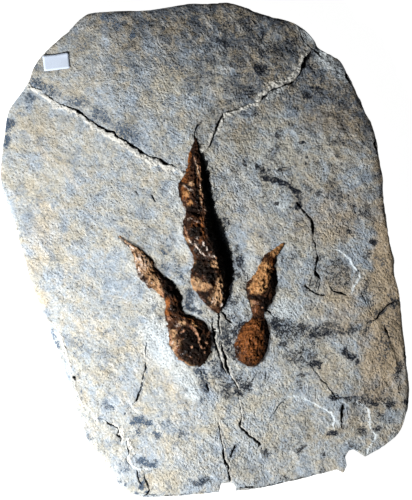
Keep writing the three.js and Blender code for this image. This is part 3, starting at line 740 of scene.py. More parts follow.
# %% Chipped spots
CHIPPED = [
    (-43.5, -61, 8.6, 13.4, 1, -15), (-46, -48.5, 7.6, 12.4, 1, -10),
    (-163.5, 155, 7.6, 4.8, 0.8, 35), (81, 160.5, 13.4, 4.8, 0.6, -30), (14, 126, 6.7, 8.6, 0.6),
    (-75, -186, 7.6, 11.5, 0.8), (-59.5, -221.5, 11.5, 11.5, 0.9),
    (-146.5, -76.5, 8.6, 11.5, 0.8, -25), (-133, -107, 5.7, 19.1, 0.7, -20),
    (111.5, 191, 13.4, 4.8, 0.7, 35), (133.5, 164.5, 9.5, 3.8, 0.7, 50),
    (19.5, -97.5, 8.6, 28.6, 0.7, -15), (190.5, -101, 3.8, 13.4, 0.8),
    (128.5, -162.5, 6.7, 11.5, 0.6), (159, -186, 5.7, 9.5, 0.4), (90.5, 183.5, 7.6, 7.6, 0.5),
    (-115, -148, 9.5, 7.6, 0.6), (-91, -164, 13.4, 4.8, 0.6, 15),
]
print("chipped spots:", len(CHIPPED))

# %% [markdown]
# ## The relief of the bedding plane
# The old lake floor is nearly flat, but a low light shows everything on it. We add it up from the
# large to the small: broad swells, the low mound that the print stands on, lumps and pits from
# layered noise, and last the cracks, ledges and sockets. A swell has a place, a radius and a
# height, and is a bell shape, because such a rise has no edge.

# %% Swells and mounds
SWELLS = [
    (-60, 20, 60, 0.9), (-45, -75, 34, 0.9), (20, -30, 46, 0.5), (-40, 150, 70, 0.7),
    (90, 70, 60, 0.6), (95, -170, 46, -0.7), (-90, -170, 60, -0.5), (77, -56, 13, 1.0),
]
MOUND = {"middle_toe_cast": 1.5, "left_toe_cast": 2.0, "right_toe_cast": 0.9}
LABEL = dict(x=-142.3, y=179.5, width=25, height=15, corner=1.6, turn=7)


def bell(x, y, at_x, at_y, radius, height):
    return height * math.exp(-2 * ((x - at_x) ** 2 + (y - at_y) ** 2) / radius**2)


print("swells:", len(SWELLS), "and the first is", round(bell(-60, 20, *SWELLS[0]), 1), "mm high")

# %% [markdown]
# A broken edge is no smooth curve. We keep the smooth paths, and shift every point that asks about
# them by a little noise.

# %% Jagged lines
JAG = 1.15


def jagged(x, y):
    """The point, shifted a little by noise, which makes every line near it jagged."""
    return x + JAG * wavy(x, y, 6, 4), y + JAG * wavy(x + 200, y, 6, 4)


print("the middle is shifted to", [round(value, 2) for value in jagged(0, 0)])

# %% [markdown]
# A crack is a groove, deeper where it is wider, and noise opens and closes it. The filler stands
# beside the gap as a low crumbling strip with pale dust round it. Dark minerals have seeped into
# the stone on both sides, less and less with the distance.

# %% Cracks and filler
CRACK_REACH = 11
DEEPEST_CRACK = 3.2


def filler_beside(x, y, fill, off, away):
    """(height, dust) of filler that is fill wide. The point lies off from the gap's edge,
    on the side of the filler, and away from it in any direction."""
    band = fill * (1.35 + 0.8 * wavy(x - 60, y, 7, 3))
    chips = smoothstep(-0.5, 0.15, wavy(x, y - 70, 3.6, 3))
    strip = smoothstep(-0.5, 0.2, off) * smoothstep(band + 0.9, 0.35 * band, away)
    dust = smoothstep(-0.3, 0.2, off) * smoothstep(band + 1, 0.7 * band, away)
    return strip * (0.45 + 0.55 * chips) * min(1, fill / 2.5), dust * (0.35 + 0.65 * chips)


def crack_here(x, y):
    """(depth, filler height, filler cover, stain) of the cracks at a point."""
    depth = raised = cover = stain = 0
    at_x, at_y = jagged(x, y)
    for line in JOINTS + CRACKS:
        found = line.near(at_x, at_y, CRACK_REACH)
        if not found:
            continue
        distance, side, _, (gap, fill) = found
        gap *= max(0.4, 1 + 1.2 * wavy(x + 300, y, 7, 3))
        half = 0.5 * gap
        inside = smoothstep(half + 0.3, half - 0.4, distance)
        depth = max(depth, min(DEEPEST_CRACK, 2 * gap) * inside)
        stain = max(stain, 0.5 * min(1, gap) * math.exp(-distance / 2.2))
        off = side * line.values["side"] - half
        if fill and off > -0.5:
            strip, dust = filler_beside(x, y, fill, off, distance - half)
            raised = max(raised, strip)
            cover = max(cover, line.values["cover"] * dust)
    return depth, raised, cover, stain


print("on the left joint:", [round(value, 2) for value in crack_here(-122.5, 134)])

# %% [markdown]
# A ledge drops the floor on one side and fades out towards both ends. If the step is sharp, its
# rim is pale: the stone there is freshly broken, and a painted highlight lies along it. The broken
# edges slope down to the rim, and noise tears the line where each slope begins.

# %% Ledges as height
def faded(share, length):
    """1 along a line, going down to 0 over a length at each end."""
    return smoothstep(0, length, share) * smoothstep(0, length, 1 - share)


def ledge_here(x, y):
    """(drop, pale rim of fresh stone and painted highlight) at ledges and broken edges."""
    low = pale = 0
    at_x, at_y = jagged(x, y)
    for line in LEDGES:
        drop, run, reach = (line.values[name] for name in ("drop", "run", "reach"))
        found = line.near(at_x, at_y, reach)
        if not found:
            continue
        distance, side, share, _ = found
        ends = faded(share, 0.12)
        inside = smoothstep(0.35, -run, side)
        low = max(low, drop * inside * (1 - smoothstep(0, 1, distance / reach)) * ends)
        # A sharp step gets a pale rim: fresh stone, and a painted highlight.
        if run < 1:
            lit = smoothstep(1.3, 0.5, abs(side + 0.1)) * (1.15 + 0.6 * wavy(x, y, 6, 3))
            pale = max(pale, ends * lit)
    for edge in BREAKS:
        found = edge.near(x, y, 40)
        if found and 0.01 < found[2] < 0.99:
            torn = max(0, 1.4 * wavy(x, y, 9, 3) - found[1])
            low = max(low, faded(found[2], 0.15) * edge.values["slope"] * torn)
    return low, pale


print("below the right ledge:", [round(value, 2) for value in ledge_here(136, -12)])

# %% [markdown]
# The upper and right parts still have their old skin, darker and more pitted than the stone
# below it. It is thickest far up and to the right, and was rubbed thin at some spots, each given as
# a place, a radius and a share.

# %% Weathered skin
RUBBED = [
    (-35, 152, 30, 0.5), (-100, 196, 30, 0.35), (15, 150, 22, 0.3), (81, 96, 45, 0.4),
    (139, 81, 35, 0.5), (119, 127, 20, 0.3), (15, 177, 20, 0.25), (64, 201, 18, 0.2),
    (165, 10, 30, 0.3), (102, 203, 16, 0.6), (124, 177, 18, 0.5), (70, 112, 28, 0.3),
]


def weathered(x, y):
    """How brown-grey and rough the old skin of the stone is."""
    skin = 0.95 * smoothstep(40, 225, 0.45 * x + 0.9 * y) + 0.15 * smoothstep(90, 180, x)
    for spot in RUBBED:
        skin -= bell(x, y, *spot)
    return max(0, skin + 0.2 * wavy(x, y, 45, 3))


print("skin at the top:", round(weathered(40, 220), 2))

# %% [markdown]
# Now the surface itself, without its lines. Waves and swells are the largest, lumps come next and
# a fine grain last, stronger where the stone is weathered or chipped. Round the sticker the stone
# is calm, so that the paper lies flat on it.

# %% Open surface
def open_surface(x, y):
    """The height of the surface above the bedding plane, away from casts and cracks."""
    relief = 0.5 * math.sin(x / 31 + y / 57) + 0.4 * math.sin(y / 23 - x / 71)
    for swell in SWELLS:
        relief += bell(x, y, *swell)
    rough = (1 + 0.6 * wavy(x - 80, y + 30, 45, 2)) * (0.8 + 1.5 * weathered(x, y))
    lumps = 0.6 * wavy(x, y, 24, 3) + 0.45 * rough * wavy(x, y, 9, 2)
    chipped = ellipse_field(CHIPPED, x, y)
    grain = rough * 0.3 * wavy(x, y, 4.8, 3) + chipped * (1.3 * wavy(x + 90, y, 7, 4) - 0.2)
    from_label = math.hypot(x - LABEL["x"], y - LABEL["y"])
    calm = smoothstep(11, 22, from_label)
    return (relief + lumps) * smoothstep(14, 46, from_label) + grain * (0.25 + 0.75 * calm)


print("open surface at the middle:", round(open_surface(0, 150), 2), "mm")

# %% [markdown]
# Where a cast stands, the surface goes down into its socket, and round the socket it rises to a
# low mound, uneven close to the cast. Iron has bled a little into the stone there, and painted
# shade lies against the lower half of each outline, where the cast throws its shadow.

# %% Sockets and mounds
CAST_REACH = 44


def round_the_casts(x, y, relief):
    """(height, painted shade, rust) of a point, with the sockets and mounds worked into its height.
    """
    painted_shade = rust = 0
    for name, line in CAST_LINES.items():
        found = line.near(x, y, CAST_REACH)
        if not found:
            continue
        distance, side, share, _ = found
        if side < 0:
            relief -= (SOCKET_DEPTH - 1 + relief) * smoothstep(0.9, 2.2, distance)
            distance = 0
        relief += MOUND[name] * math.exp(-distance / 11)
        relief += math.exp(-distance / 3) * (1.5 * wavy(x + 30, y, 6, 4) - 0.2)
        # Painted shade: dark along the outline on the side where the cast throws its shadow.
        shaded = 0.9 * smoothstep(0.55, 0.45, share)
        near = math.exp(-((distance / (0.7 + 0.5 * wavy(x, y, 4, 2))) ** 2))
        painted_shade = max(painted_shade, shaded * near)
        rust = max(rust, math.exp(-distance / 1.2) * (0.4 + 1.2 * wavy(x, y, 9, 2)))
    return relief, painted_shade, rust


print("in the middle socket:", round(round_the_casts(0, 0, 0)[0], 2), "mm")

# %% [markdown]
# Last comes the function that each vertex asks. It puts the surface, the sockets, the cracks and
# the ledges together, wears the rim down, and collects the fields for the material. Noise bends
# the blotches before they are looked up, so that no ellipse shows as one.

# %% Height and colour fields of the bedding plane
def bedding(x, y, to_edge):
    """The height of a point that is to_edge inside the outline, and its colour fields."""
    relief, painted_shade, rust = round_the_casts(x, y, open_surface(x, y))
    depth, raised, cover, stain = crack_here(x, y)
    low, pale = ledge_here(x, y)
    relief += 0.9 * raised * (1 + 0.6 * wavy(x, y, 3.1, 3)) - low
    relief -= depth + 0.9 * math.exp(-to_edge)
    bend_x, bend_y = 3.5 * wavy(x + 11, y, 12, 4), 3.5 * wavy(x, y + 57, 12, 4)
    upper_right = smoothstep(-90, 150, 0.7 * x + 0.7 * y)
    clusters = smoothstep(0.1, 0.6, wavy(x + 500, y, 13, 4)) * upper_right
    # Painted shadow beside the middle toe, kept as a field of its own.
    painted_toe_shadow = ellipse_field(PAINTED_TOE_SHADOW, x + 0.3 * bend_x, y + 0.3 * bend_y)
    mottles = ellipse_field(MOTTLES, x + bend_x, y + bend_y)
    fields = dict(
        filler=cover,
        # Painted shade: darker the deeper a crack is, along the casts' shaded sides, and at half
        # strength under the painted shadow beside the middle toe.
        painted_shade=max(painted_shade, min(1, depth / 1.6), 0.5 * painted_toe_shadow),
        # The stain field also carries the painted shadow beside the middle toe.
        stain=max(stain, 0.42 * clusters, mottles, 1.3 * painted_toe_shadow),
        # Fresh stone, and painted highlights along the rims of sharp ledges.
        fresh_and_rim_highlight=max(0.9 * pale, ellipse_field(FRESH, x + bend_x, y - bend_y)),
        rust=rust,
        tan=ellipse_field(TANNED, x + 2 * bend_x, y + 2 * bend_y),
        skin=weathered(x, y),
    )
    return TOP + relief, fields


print("bedding plane near the middle:", round(bedding(0, 150, 90)[0], 2), "mm up")

# %% [markdown]
# ## The slab, its upper face
# We start from one flat grid and draw it out to the outline: each point keeps its direction from
# the middle and moves in or out, until the border of the grid is the border of the slab. A fan of
# triangles would have narrow slivers at its middle.

# %% Grid drawn out to the outline
COLUMNS, ROWS = 174, 210
HALF_WIDTH, HALF_LENGTH = 196, 237.2
TOP_INSET = 1.0


def broken_back(turn, z):
    """How unevenly the edge has broken, as a factor that changes round the slab."""
    return 1 + 0.45 * math.sin(9 * turn + z / 4) + 0.4 * math.sin(23 * turn - z / 3)


def drawn_out(u, v):
    """The place of a grid point, whose u and v run from -1 to 1, on the slab."""
    x, y = HALF_WIDTH * u, HALF_LENGTH * v
    ring = max(abs(u), abs(v))
    if ring < TINY:
        return x, y
    turn = turn_of((x, y))
    inset = TOP_INSET * broken_back(turn, TOP)
    reach = mixed(reach_at(turn, RIM), edge_reach(turn), smoothstep(0.82, 1, ring)) - inset
    grow = reach * ring / math.hypot(x, y)
    return x * grow, y * grow


slab = bmesh.new()
bmesh.ops.create_grid(slab, x_segments=COLUMNS, y_segments=ROWS, size=1)
to_edge = slab.verts.layers.float.new("to_edge")
for vert in slab.verts:
    ring = max(abs(vert.co.x), abs(vert.co.y))
    vert.co = (*drawn_out(vert.co.x, vert.co.y), 0)
    vert[to_edge] = (1 - ring) * vert.co.length
print("slab grid:", len(slab.verts), "points")

# %% [markdown]
# A groove one millimetre wide needs cells smaller than that. A whole grid so fine would be far too
# heavy, so only the cells near cracks, ledges, casts and dark mottles are halved, and those right
# on the lines once more.

# %% Finer cells along the lines
def close_to(lines, x, y, margin):
    """Whether a point is within a margin of one of the lines, beyond its gap and filler."""
    x, y = jagged(x, y)
    for line in lines:
        found = line.near(x, y, 9)
        if found and found[0] < margin + sum(found[3]):
            return True
    return False


def near_detail(p):
    if close_to(JOINTS + CRACKS + LEDGES, p.x, p.y, 1.7):
        return True
    return any(rim.near(p.x, p.y, 2) for rim in CAST_LINES.values()) or (
        ellipse_field(MOTTLES, p.x, p.y) > 0.62)


def on_a_line(p):
    return close_to(JOINTS + CRACKS, p.x, p.y, 0.9) or close_to(LEDGES, p.x, p.y, 1)


for wanted in (near_detail, on_a_line):
    fine = [edge for edge in slab.edges if wanted((edge.verts[0].co + edge.verts[1].co) / 2)]
    bmesh.ops.subdivide_edges(slab, edges=fine, cuts=1, use_grid_fill=True)
    print("with finer cells:", len(slab.verts), "points")

# %% [markdown]
# Now each point asks for its height and moves there, and keeps its colour fields in layers of the
# mesh, where the material will find them.

# %% Relief
SLAB_FIELDS = ["filler", "painted_shade", "stain", "fresh_and_rim_highlight", "rust", "tan", "skin", "broken"]
layers = {name: slab.verts.layers.float.new(name) for name in SLAB_FIELDS}

for vert in slab.verts:
    vert.co.z, fields = bedding(vert.co.x, vert.co.y, vert[to_edge])
    for name, value in fields.items():
        vert[layers[name]] = value
heights = [vert.co.z for vert in slab.verts]
print("bedding plane from", round(min(heights), 1), "to", round(max(heights), 1), "mm")

# %% [markdown]
# ## The slab, its broken sides
# Such stone breaks along thin layers, so its sides are neither smooth nor upright. The border is
# extruded downwards ring by ring, and each ring bulges or falls back. The noise is stretched
# along the slab and squeezed in height, which gives the thin layers.

# %% Shape of the sides
SIDE_RINGS = 13
RING_TOP = 26


def side_point(turn, z, low):
    """A point of the side at a height. The ring is drawn at low, where the rim is worn down."""
    inset = 0.7 * smoothstep(21, RING_TOP, z) + 4.4 * smoothstep(10, 0, z)
    reach = edge_reach(turn) - inset * broken_back(turn, z)
    x, y = reach * math.cos(turn), reach * math.sin(turn)
    sheets = 1.5 * layered_noise((x / 34, y / 34, z / 3), 3)
    chips = 1.8 * layered_noise((x / 10, y / 10, z / 6), 4)
    reach += min(0.3, (sheets + chips - 0.2) * min(1, z / 4) * min(1, (RING_TOP + 2 - z) / 4))
    return Vector((reach * math.cos(turn), reach * math.sin(turn), low))


print("side at half height:", [round(c, 1) for c in side_point(0, 13, 13)])

# %% [markdown]
# An extrusion gives back the new points and edges, and those edges are the border that the next
# ring starts from. The last ring lies on the ground plane.

# %% Side rings
def made_items(result, kind):
    """The new points or edges that an operator gave back."""
    return [item for item in result["geom"] if isinstance(item, kind)]


rim_height = slab.verts.layers.float.new("rim_height")
border = [edge for edge in slab.edges if edge.is_boundary]
for vert in {vert for edge in border for vert in edge.verts}:
    vert[rim_height] = vert.co.z
for step in range(SIDE_RINGS):
    z = RING_TOP * (1 - step / (SIDE_RINGS - 1))
    ring = bmesh.ops.extrude_edge_only(slab, edges=border)
    for vert in made_items(ring, bmesh.types.BMVert):
        low = z * min(1, (vert[rim_height] - 0.7) / RING_TOP)
        vert.co = side_point(turn_of(vert.co), z, low)
        for layer in layers.values():
            vert[layer] = 0
        vert[layers["skin"]] = weathered(vert.co.x, vert.co.y) + 0.25
        vert[layers["broken"]] = min(1, step / 2)
    border = made_items(ring, bmesh.types.BMEdge)
print("slab with its sides:", len(slab.faces), "faces")

# %% [markdown]
# One flat face closes the slab below. The upper face and the sides are shaded smooth, but an edge
# between two faces that meet at a sharp angle stays sharp, so that breaks look broken.

# %% Underside
SHARP = math.radians(50)

underside = bmesh.ops.contextual_create(slab, geom=border)["faces"]
bmesh.ops.recalc_face_normals(slab, faces=slab.faces)
for face in slab.faces:
    face.smooth = face not in underside
for edge in slab.edges:
    edge.smooth = edge.calc_face_angle(0) < SHARP
print("slab:", len(slab.faces), "faces, underside faces:", len(underside))

# %% [markdown]
# Every piece is finished in the same way: scaled from millimetres to metres, made an object at the
# origin and hung under the root body, and the solid that it stands for is hidden.

# %% Finishing a piece
def mesh_object(mesh, name):
    data = bpy.data.meshes.new(name)
    mesh.to_mesh(data)
    mesh.free()
    return new_object(name, data)


def finish_piece(mesh, name, node):
    bmesh.ops.scale(mesh, vec=(MM, MM, MM), verts=mesh.verts)
    piece = mesh_object(mesh, name)
    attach(piece, "root")
    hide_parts(node)
    triangles = sum(len(face.vertices) - 2 for face in piece.data.polygons)
    print(name, "has", triangles, "triangles")
    return piece


slab_piece = finish_piece(slab, "limestone_slab", "slab")

# %% [markdown]
# ## The casts
# A cast is a long domed form, so it can start as a grid again: one direction runs across the toe,
# the other from claw to heel. The stations give the outline and the height, a dome carries the
# grid up between its two sides, and lumps, creases and fibres come on top. A lump is a bell like
# the slab's swells: a place, a radius and a height, and below zero it makes a hollow.

# %% Lumps of the casts
LUMPS = [
    (-19.5, 67, 5, 1.4), (-12.8, 63, 4.2, 1.8), (-20, 52, 6, 0.9), (-15, 27, 8, 1.2),
    (-14, 16, 9, 1.2), (-4, 14, 7, 0.8), (-6, -22, 9, 1), (4, -34, 10, 1.2), (9, -50, 6, 0.8),
    (-9, 38, 7, -1.6), (-13, 44, 4, -0.8), (-1, -1, 6, -0.8), (-2, -12, 4, -1),
    (-60, -11, 9, 0.6), (-52, -24, 9, 0.9), (-44, -34, 6, -0.7), (-36, -42, 8, 0.7),
    (-31, -55, 8, 0.8), (-28, -66, 7, -1.1), (-14, -88, 16, 1), (-24, -80, 6, 0.5),
    (-6, -78, 6, 0.5), (-66, -8, 5, 0.4), (62, -9, 7, 0.4), (57, -22, 9, 0.7), (52, -37, 9, 0.8),
    (52, -50, 8, 0.5), (51, -62, 7, -0.9), (46, -86, 16, 1), (40, -96, 6, 0.4), (54, -76, 6, 0.4),
]
print("lumps:", len(LUMPS))

# %% [markdown]
# A crease is a path whose points carry a height and a half width. Below zero it is a groove
# between two pads of a toe, and above zero a vein that stands out.

# %% Creases and veins of the casts
CREASES = [Line(points) for points in (
    [(-13, 93.5, -0.5, 0.9), (-11.5, 84, -1.1, 1), (-9.5, 74.5, -0.6, 0.9), (-8.5, 63, -1.3, 1.1),
     (-8, 53.5, -0.4, 0.9), (-5.5, 43, -1.2, 1.2), (-4, 35.5, -0.4, 1)],
    [(-8, 84, 0.3, 0.6), (-6.5, 76.5, 0.8, 0.7), (-4.5, 69, 0.2, 0.6), (-4.5, 60.5, 0.9, 0.8),
     (-3.5, 51.5, 0.3, 0.8), (-2.5, 43, 0.9, 0.7), (-0.5, 35.5, 0.2, 0.7)],
    [(-23.5, 69, -0.3, 0.7), (-22.5, 63, -0.9, 0.7), (-17.5, 59.5, -1.1, 0.7),
     (-12, 59.5, -0.8, 0.7)],
    [(-22.5, 42, -0.4, 1.4), (-16.5, 37.5, -1.8, 1.8), (-9, 35.5, -2.4, 2),
     (-1.5, 34.5, -1.5, 1.6)],
    [(-14.5, -11.5, -0.2, 1), (-8, -8.5, -1.2, 1.2), (0.5, -9.5, -1.6, 1.2), (10, -13.5, -0.8, 1)],
    [(-14.5, 7.5, 0.5, 0.8), (-9, 3, 0.9, 0.9), (-3, -3, 1.1, 0.9), (3.5, -6.5, 0.9, 0.8),
     (10, -8.5, 0.5, 0.8)],
    [(-3, -39, -0.6, 1), (1.5, -45, -1.1, 1.1), (5.5, -50.5, -0.6, 1)],
    [(12, -19, 0.4, 0.8), (16, -28.5, 0.8, 0.8), (17, -40, 0.8, 0.8), (15, -51.5, 0.5, 0.7)],
    [(-57.5, -2, 0.5, 0.9), (-52, -8.5, 1.2, 1), (-47, -17, 1.3, 1), (-41.5, -27.5, 0.8, 1)],
    [(-55, -5.5, -0.3, 0.8), (-48, -19, -0.9, 0.9), (-41.5, -30.5, -0.6, 0.9)],
    [(-39.5, -45, -0.5, 1), (-33, -44, -0.9, 1), (-24.5, -45, -0.4, 1)],
    [(-37.5, -61, -0.4, 1), (-29, -63, -1.2, 1.2), (-20.5, -62, -1.6, 1.2), (-13, -65, -0.8, 1)],
    [(-14.5, -70.5, 0.4, 0.8), (-9, -75.5, 0.9, 0.9), (-6, -82, 0.9, 0.8), (-5, -88.5, 0.4, 0.8)],
    [(-27, -76.5, -0.3, 0.8), (-28, -86, -0.6, 0.8), (-24.5, -97.5, -0.4, 0.8)],
    [(41.5, -46.5, -0.5, 1), (49.5, -45, -1, 1.1), (60, -45.5, -0.7, 1)],
    [(43.5, -63, -0.5, 1), (49.5, -65, -1.2, 1.2), (56, -64, -0.8, 1)],
    [(47.5, -51.5, 0.5, 1), (52, -57, 0.7, 0.9), (53, -64, 0.4, 0.8)],
)]
print("creases and veins:", len(CREASES))

# %% [markdown]
# Ironstone of this kind has a fibrous grain. It runs along the toes, which is noise stretched from
# claw to heel, and lies in rings round one spot on the right heel, like the grain round a knot.

# %% Fibres
WHORL_X, WHORL_Y = 44.5, -86


def fibres_at(name, x, y, share, place):
    """The fibrous grain of a cast, mostly between -1 and 1."""
    wander = 1.4 * wavy(x, y, 9, 4)
    along = wavy(share * 30 + wander, place * 22, 1.6, 3)
    if name != "right_toe_cast":
        return along
    ring = math.hypot(x - WHORL_X, 0.75 * (y - WHORL_Y))
    rings = math.sin(ring * 2.5 + 5 * wander) * (0.35 + wavy(x, y, 4, 3)) + 0.8 * wavy(x, y, 2.5, 3)
    return mixed(along, rings, smoothstep(0.62, 0.72, place))


print("fibre beside the whorl:", round(fibres_at("right_toe_cast", 50, -86, 0.6, 0.8), 2))

# %% [markdown]
# The height of a cast is a dome over its plan, steep at the sides and flat on top, with lumps,
# knobs and creases. What stands above the surroundings and what lies below is kept as well,
# because the hollows are painted darker as shade.

# %% Height of a cast
KNOB = 5.5


def roughness_at(name, x, y, share, place):
    """The knobs, fibres and creases of a cast at a point."""
    rough = 0.8 * wavy(x, y, 8, 3) + 1.5 * wavy(x + 70, y, 2.9, 4)
    rough += 2.2 * (0.2 - abs(wavy(x + 7, y, KNOB, 4)))
    rough += 0.25 * fibres_at(name, x, y, share, place)
    for line in CREASES:
        found = line.near(x + 0.8 * wavy(x, y, 4, 3), y + 0.8 * wavy(x, y + 50, 4, 3), 6)
        if found:
            height, half = found[3]
            rough += height * math.exp(-((found[0] / half) ** 2))
    return rough


def cast_height(name, x, y, share, place, rise):
    """The height of a point of a cast, and how far it lies above or below its surroundings."""
    crest = CASTS[name]["crest"]
    climb = share / crest if share < crest else (1 - share) / (1 - crest)
    dome = math.sin(min(1, max(0, climb)) * math.pi / 2) ** 0.75
    for lump in LUMPS:
        if abs(x - lump[0]) + abs(y - lump[1]) < 3 * lump[2]:
            rise += bell(x, y, *lump)
    rough = roughness_at(name, x, y, share, place)
    foot = MOUND[name] - 0.5
    above = max(foot + 0.6, rise + rough * min(1, rise / 7))
    return TOP + foot + (above - foot) * dome, rough


print("middle toe near its heel:", round(cast_height("middle_toe_cast", 5, -20, 0.5, 0.8, 11)[0]))

# %% [markdown]
# Now a cast can be made. Its sides are nibbled by noise, as a natural cast has no clean edge. The
# border is then extruded straight down to the floor of the socket, and one flat face closes the
# foot. Three layers keep the fibres, the hollows and the steep flank for the material, which
# paints shade into the hollows and onto the flank.

# %% Building a cast
def station_point(cast, share, place):
    """(x, y, rise) at a share of the width, at a place along the cast."""
    left_x, left_y, right_x, right_y, rise = station(cast, place)
    x, y = mixed(left_x, right_x, share), mixed(left_y, right_y, share)
    nibble = 1.9 * smoothstep(0.35, 0, min(share, 1 - share)) * min(1, rise / 4)
    return x + nibble * wavy(x + 40, y, 5, 4), y + nibble * wavy(x, y + 40, 5, 4), rise


def model_cast(name, across, along):
    cast = CASTS[name]
    mesh = bmesh.new()
    bmesh.ops.create_grid(mesh, x_segments=across, y_segments=along, size=1)
    fibre = mesh.verts.layers.float.new("fibre")
    hollow = mesh.verts.layers.float.new("hollow")
    flank = mesh.verts.layers.float.new("flank")
    for vert in mesh.verts:
        share, place = (vert.co.x + 1) / 2, (1 - vert.co.y) / 2
        x, y, rise = station_point(cast, share, place)
        z, rough = cast_height(name, x, y, share, place, rise)
        vert.co = (x, y, z)
        vert[fibre] = fibres_at(name, x, y, share, place)
        # The hollows are kept so that the material can paint shade into them.
        vert[hollow] = smoothstep(0, -1.3, rough)
        # Beyond this share the steep flank is painted near-black as shade.
        edge = cast["flank"] + 0.1 * wavy(x, y, 8, 3)
        vert[flank] = smoothstep(edge - 0.05, edge + 0.08, share)
    border = [edge for edge in mesh.edges if edge.is_boundary]
    wall = bmesh.ops.extrude_edge_only(mesh, edges=border)
    for vert in made_items(wall, bmesh.types.BMVert):
        vert.co.z = TOP - SOCKET_DEPTH
    bmesh.ops.contextual_create(mesh, geom=made_items(wall, bmesh.types.BMEdge))
    bmesh.ops.recalc_face_normals(mesh, faces=mesh.faces)
    for face in mesh.faces:
        face.smooth = len(face.verts) == 4
    return mesh


print("left heel, a point inside:", [
    round(value, 1) for value in station_point(CASTS["left_toe_cast"], 0.5, 0.8)])

# %% [markdown]
# The ironstone isn't one brown, and each kind of colour is a list of ellipses again. Black is
# partly a coat of manganese, and partly painted shade on the steep right sides and in the grooves
# between the pads.

# %% Black patches
PATCHES = {}
PATCHES["black"] = [
    (-10, 80.5, 1.4, 13.4, 1, -8), (-7, 48, 2.1, 13.4, 1, -8), (-10, 38.5, 7.6, 4.8, 0.95),
    (0.5, 57.5, 3.3, 28.6, 1, -6), (-9, 16.5, 7.6, 6.7, 0.85), (6.5, 13.5, 5.7, 22.9, 1, -12),
    (-2.5, -17, 10.5, 8.6, 1), (6.5, -25.5, 5.3, 7.6, 1), (-8, -17, 4.8, 6.2, 1),
    (0.5, -42, 4.8, 2.9, 0.8), (2.5, -49.5, 3.3, 4.8, 0.7, -20), (-1.5, -8.5, 8.6, 2.4, 0.75, 15),
    (-16.5, 60.5, 4.8, 1.2, 1, 20), (-23.5, 65, 1.4, 3.8, 0.7), (14, -30.5, 1.9, 1.9, 0.9),
    (-18.5, 23, 2.4, 6.7, 0.5), (-10, 48, 4.8, 3.8, 0.5), (-46, -18, 1.2, 11.5, 0.7, -30),
    (-33, -36, 8.6, 9.5, 1), (-26, -42, 3.8, 7.6, 1), (-37.5, -32.5, 2.9, 4.8, 0.8),
    (-30, -54.5, 5.7, 6.7, 0.6), (-18.5, -63, 5.7, 1.9, 0.8, 15), (-12, -91.5, 12.4, 15.3, 1),
    (-2.5, -97.5, 7.6, 11.5, 1), (-9, -77.5, 7.6, 5.7, 0.9), (-0.5, -71.5, 3.8, 4.8, 0.9),
    (-21.5, -79, 5.7, 5.7, 0.75), (-2.5, -84, 4.8, 5.7, 0.8), (-19.5, -97.5, 7.6, 9.5, 0.6, -20),
    (-13, -107, 9.5, 3.8, 0.6, 10), (-63.5, 5, 4.8, 1.4, 0.35, 35), (65.5, -38, 3.3, 17.2, 1, -8),
    (51, -45.5, 9.5, 2.3, 1), (58, -52.5, 5.7, 6.7, 1, 20), (61.5, -59, 4.8, 3.8, 1),
    (59, -81, 3.1, 14.3, 1, 5), (31, -95.5, 3.8, 6.7, 0.6, 20), (51, -97.5, 6.7, 4.8, 0.55),
    (55, -71.5, 3.8, 6.7, 0.7), (36, -68.5, 3.8, 2.4, 0.5, -35), (47.5, -65, 5.7, 1.9, 0.6),
    (44.5, -104, 9.5, 2.9, 0.45), (60, -24, 2.9, 4.8, 0.4), (-5, 0, 9.5, 7.6, 0.65),
    (-14.5, 27, 3.8, 3.8, 0.5),
]
print("black patches:", len(PATCHES["black"]))

# %% [markdown]
# Tan stone shows where the dark skin has gone, and the skin is golden where it is thin.

# %% Tan and golden patches
PATCHES["tan"] = [
    (-10, -32.5, 6.7, 6.7, 0.9), (-2.5, -35, 7.6, 4.8, 0.85), (-11, -12.5, 2.9, 3.8, 1),
    (8, -13.5, 5.3, 2.9, 1, 30), (14, -39, 5.7, 12.4, 1), (-13, 63, 3.4, 3.2, 1),
    (11, -7.5, 2.1, 1.5, 1), (-18.5, 9.5, 2.9, 4.8, 0.7, -30), (8, -47.5, 6.7, 6.7, 0.6),
    (-6, 73.5, 1.9, 11.5, 0.6, -14), (-4, 52.5, 1.5, 11.5, 0.6, -2), (-74, 6, 10.5, 5.7, 1, 40),
    (-59.5, -11.5, 8.6, 13.4, 1, -30), (-49, -29.5, 5.7, 9.5, 1, -20), (-43.5, -40, 4.8, 4.8, 0.8),
    (-27, -103, 11.5, 3.3, 0.9, 42), (-31, -90.5, 3.8, 9.5, 0.75), (-31, -79, 3.8, 3.8, 0.9),
    (-21.5, -69.5, 3.8, 2.9, 0.8, 20), (-17.5, -109, 7.6, 2.9, 0.8, 15),
    (-23.5, -88, 3.8, 3.8, 0.5), (44.5, -51.5, 3.8, 3.8, 0.5),
]
PATCHES["gold"] = [
    (54, -24, 8.6, 13.4, 1, 20), (50, -36, 8.6, 5.7, 1), (68.5, 0, 5.7, 8.6, 0.9, 35),
    (-9, -75.5, 2.9, 7.6, 1, -35), (-53, -17, 3.8, 7.6, 0.5, -30),
    (-45.5, -33.5, 3.8, 7.6, 0.5, -25), (9, -33.5, 2.9, 5.7, 0.5), (-18.5, 53.5, 3.8, 3.8, 0.75),
    (-14, 44, 2.9, 3.8, 0.6), (-20.5, 61, 2.4, 1.9, 0.6),
]
print("tan patches:", len(PATCHES["tan"]), "golden patches:", len(PATCHES["gold"]))

# %% [markdown]
# Rust lies on the left edges of the middle toe and all over the right heel.

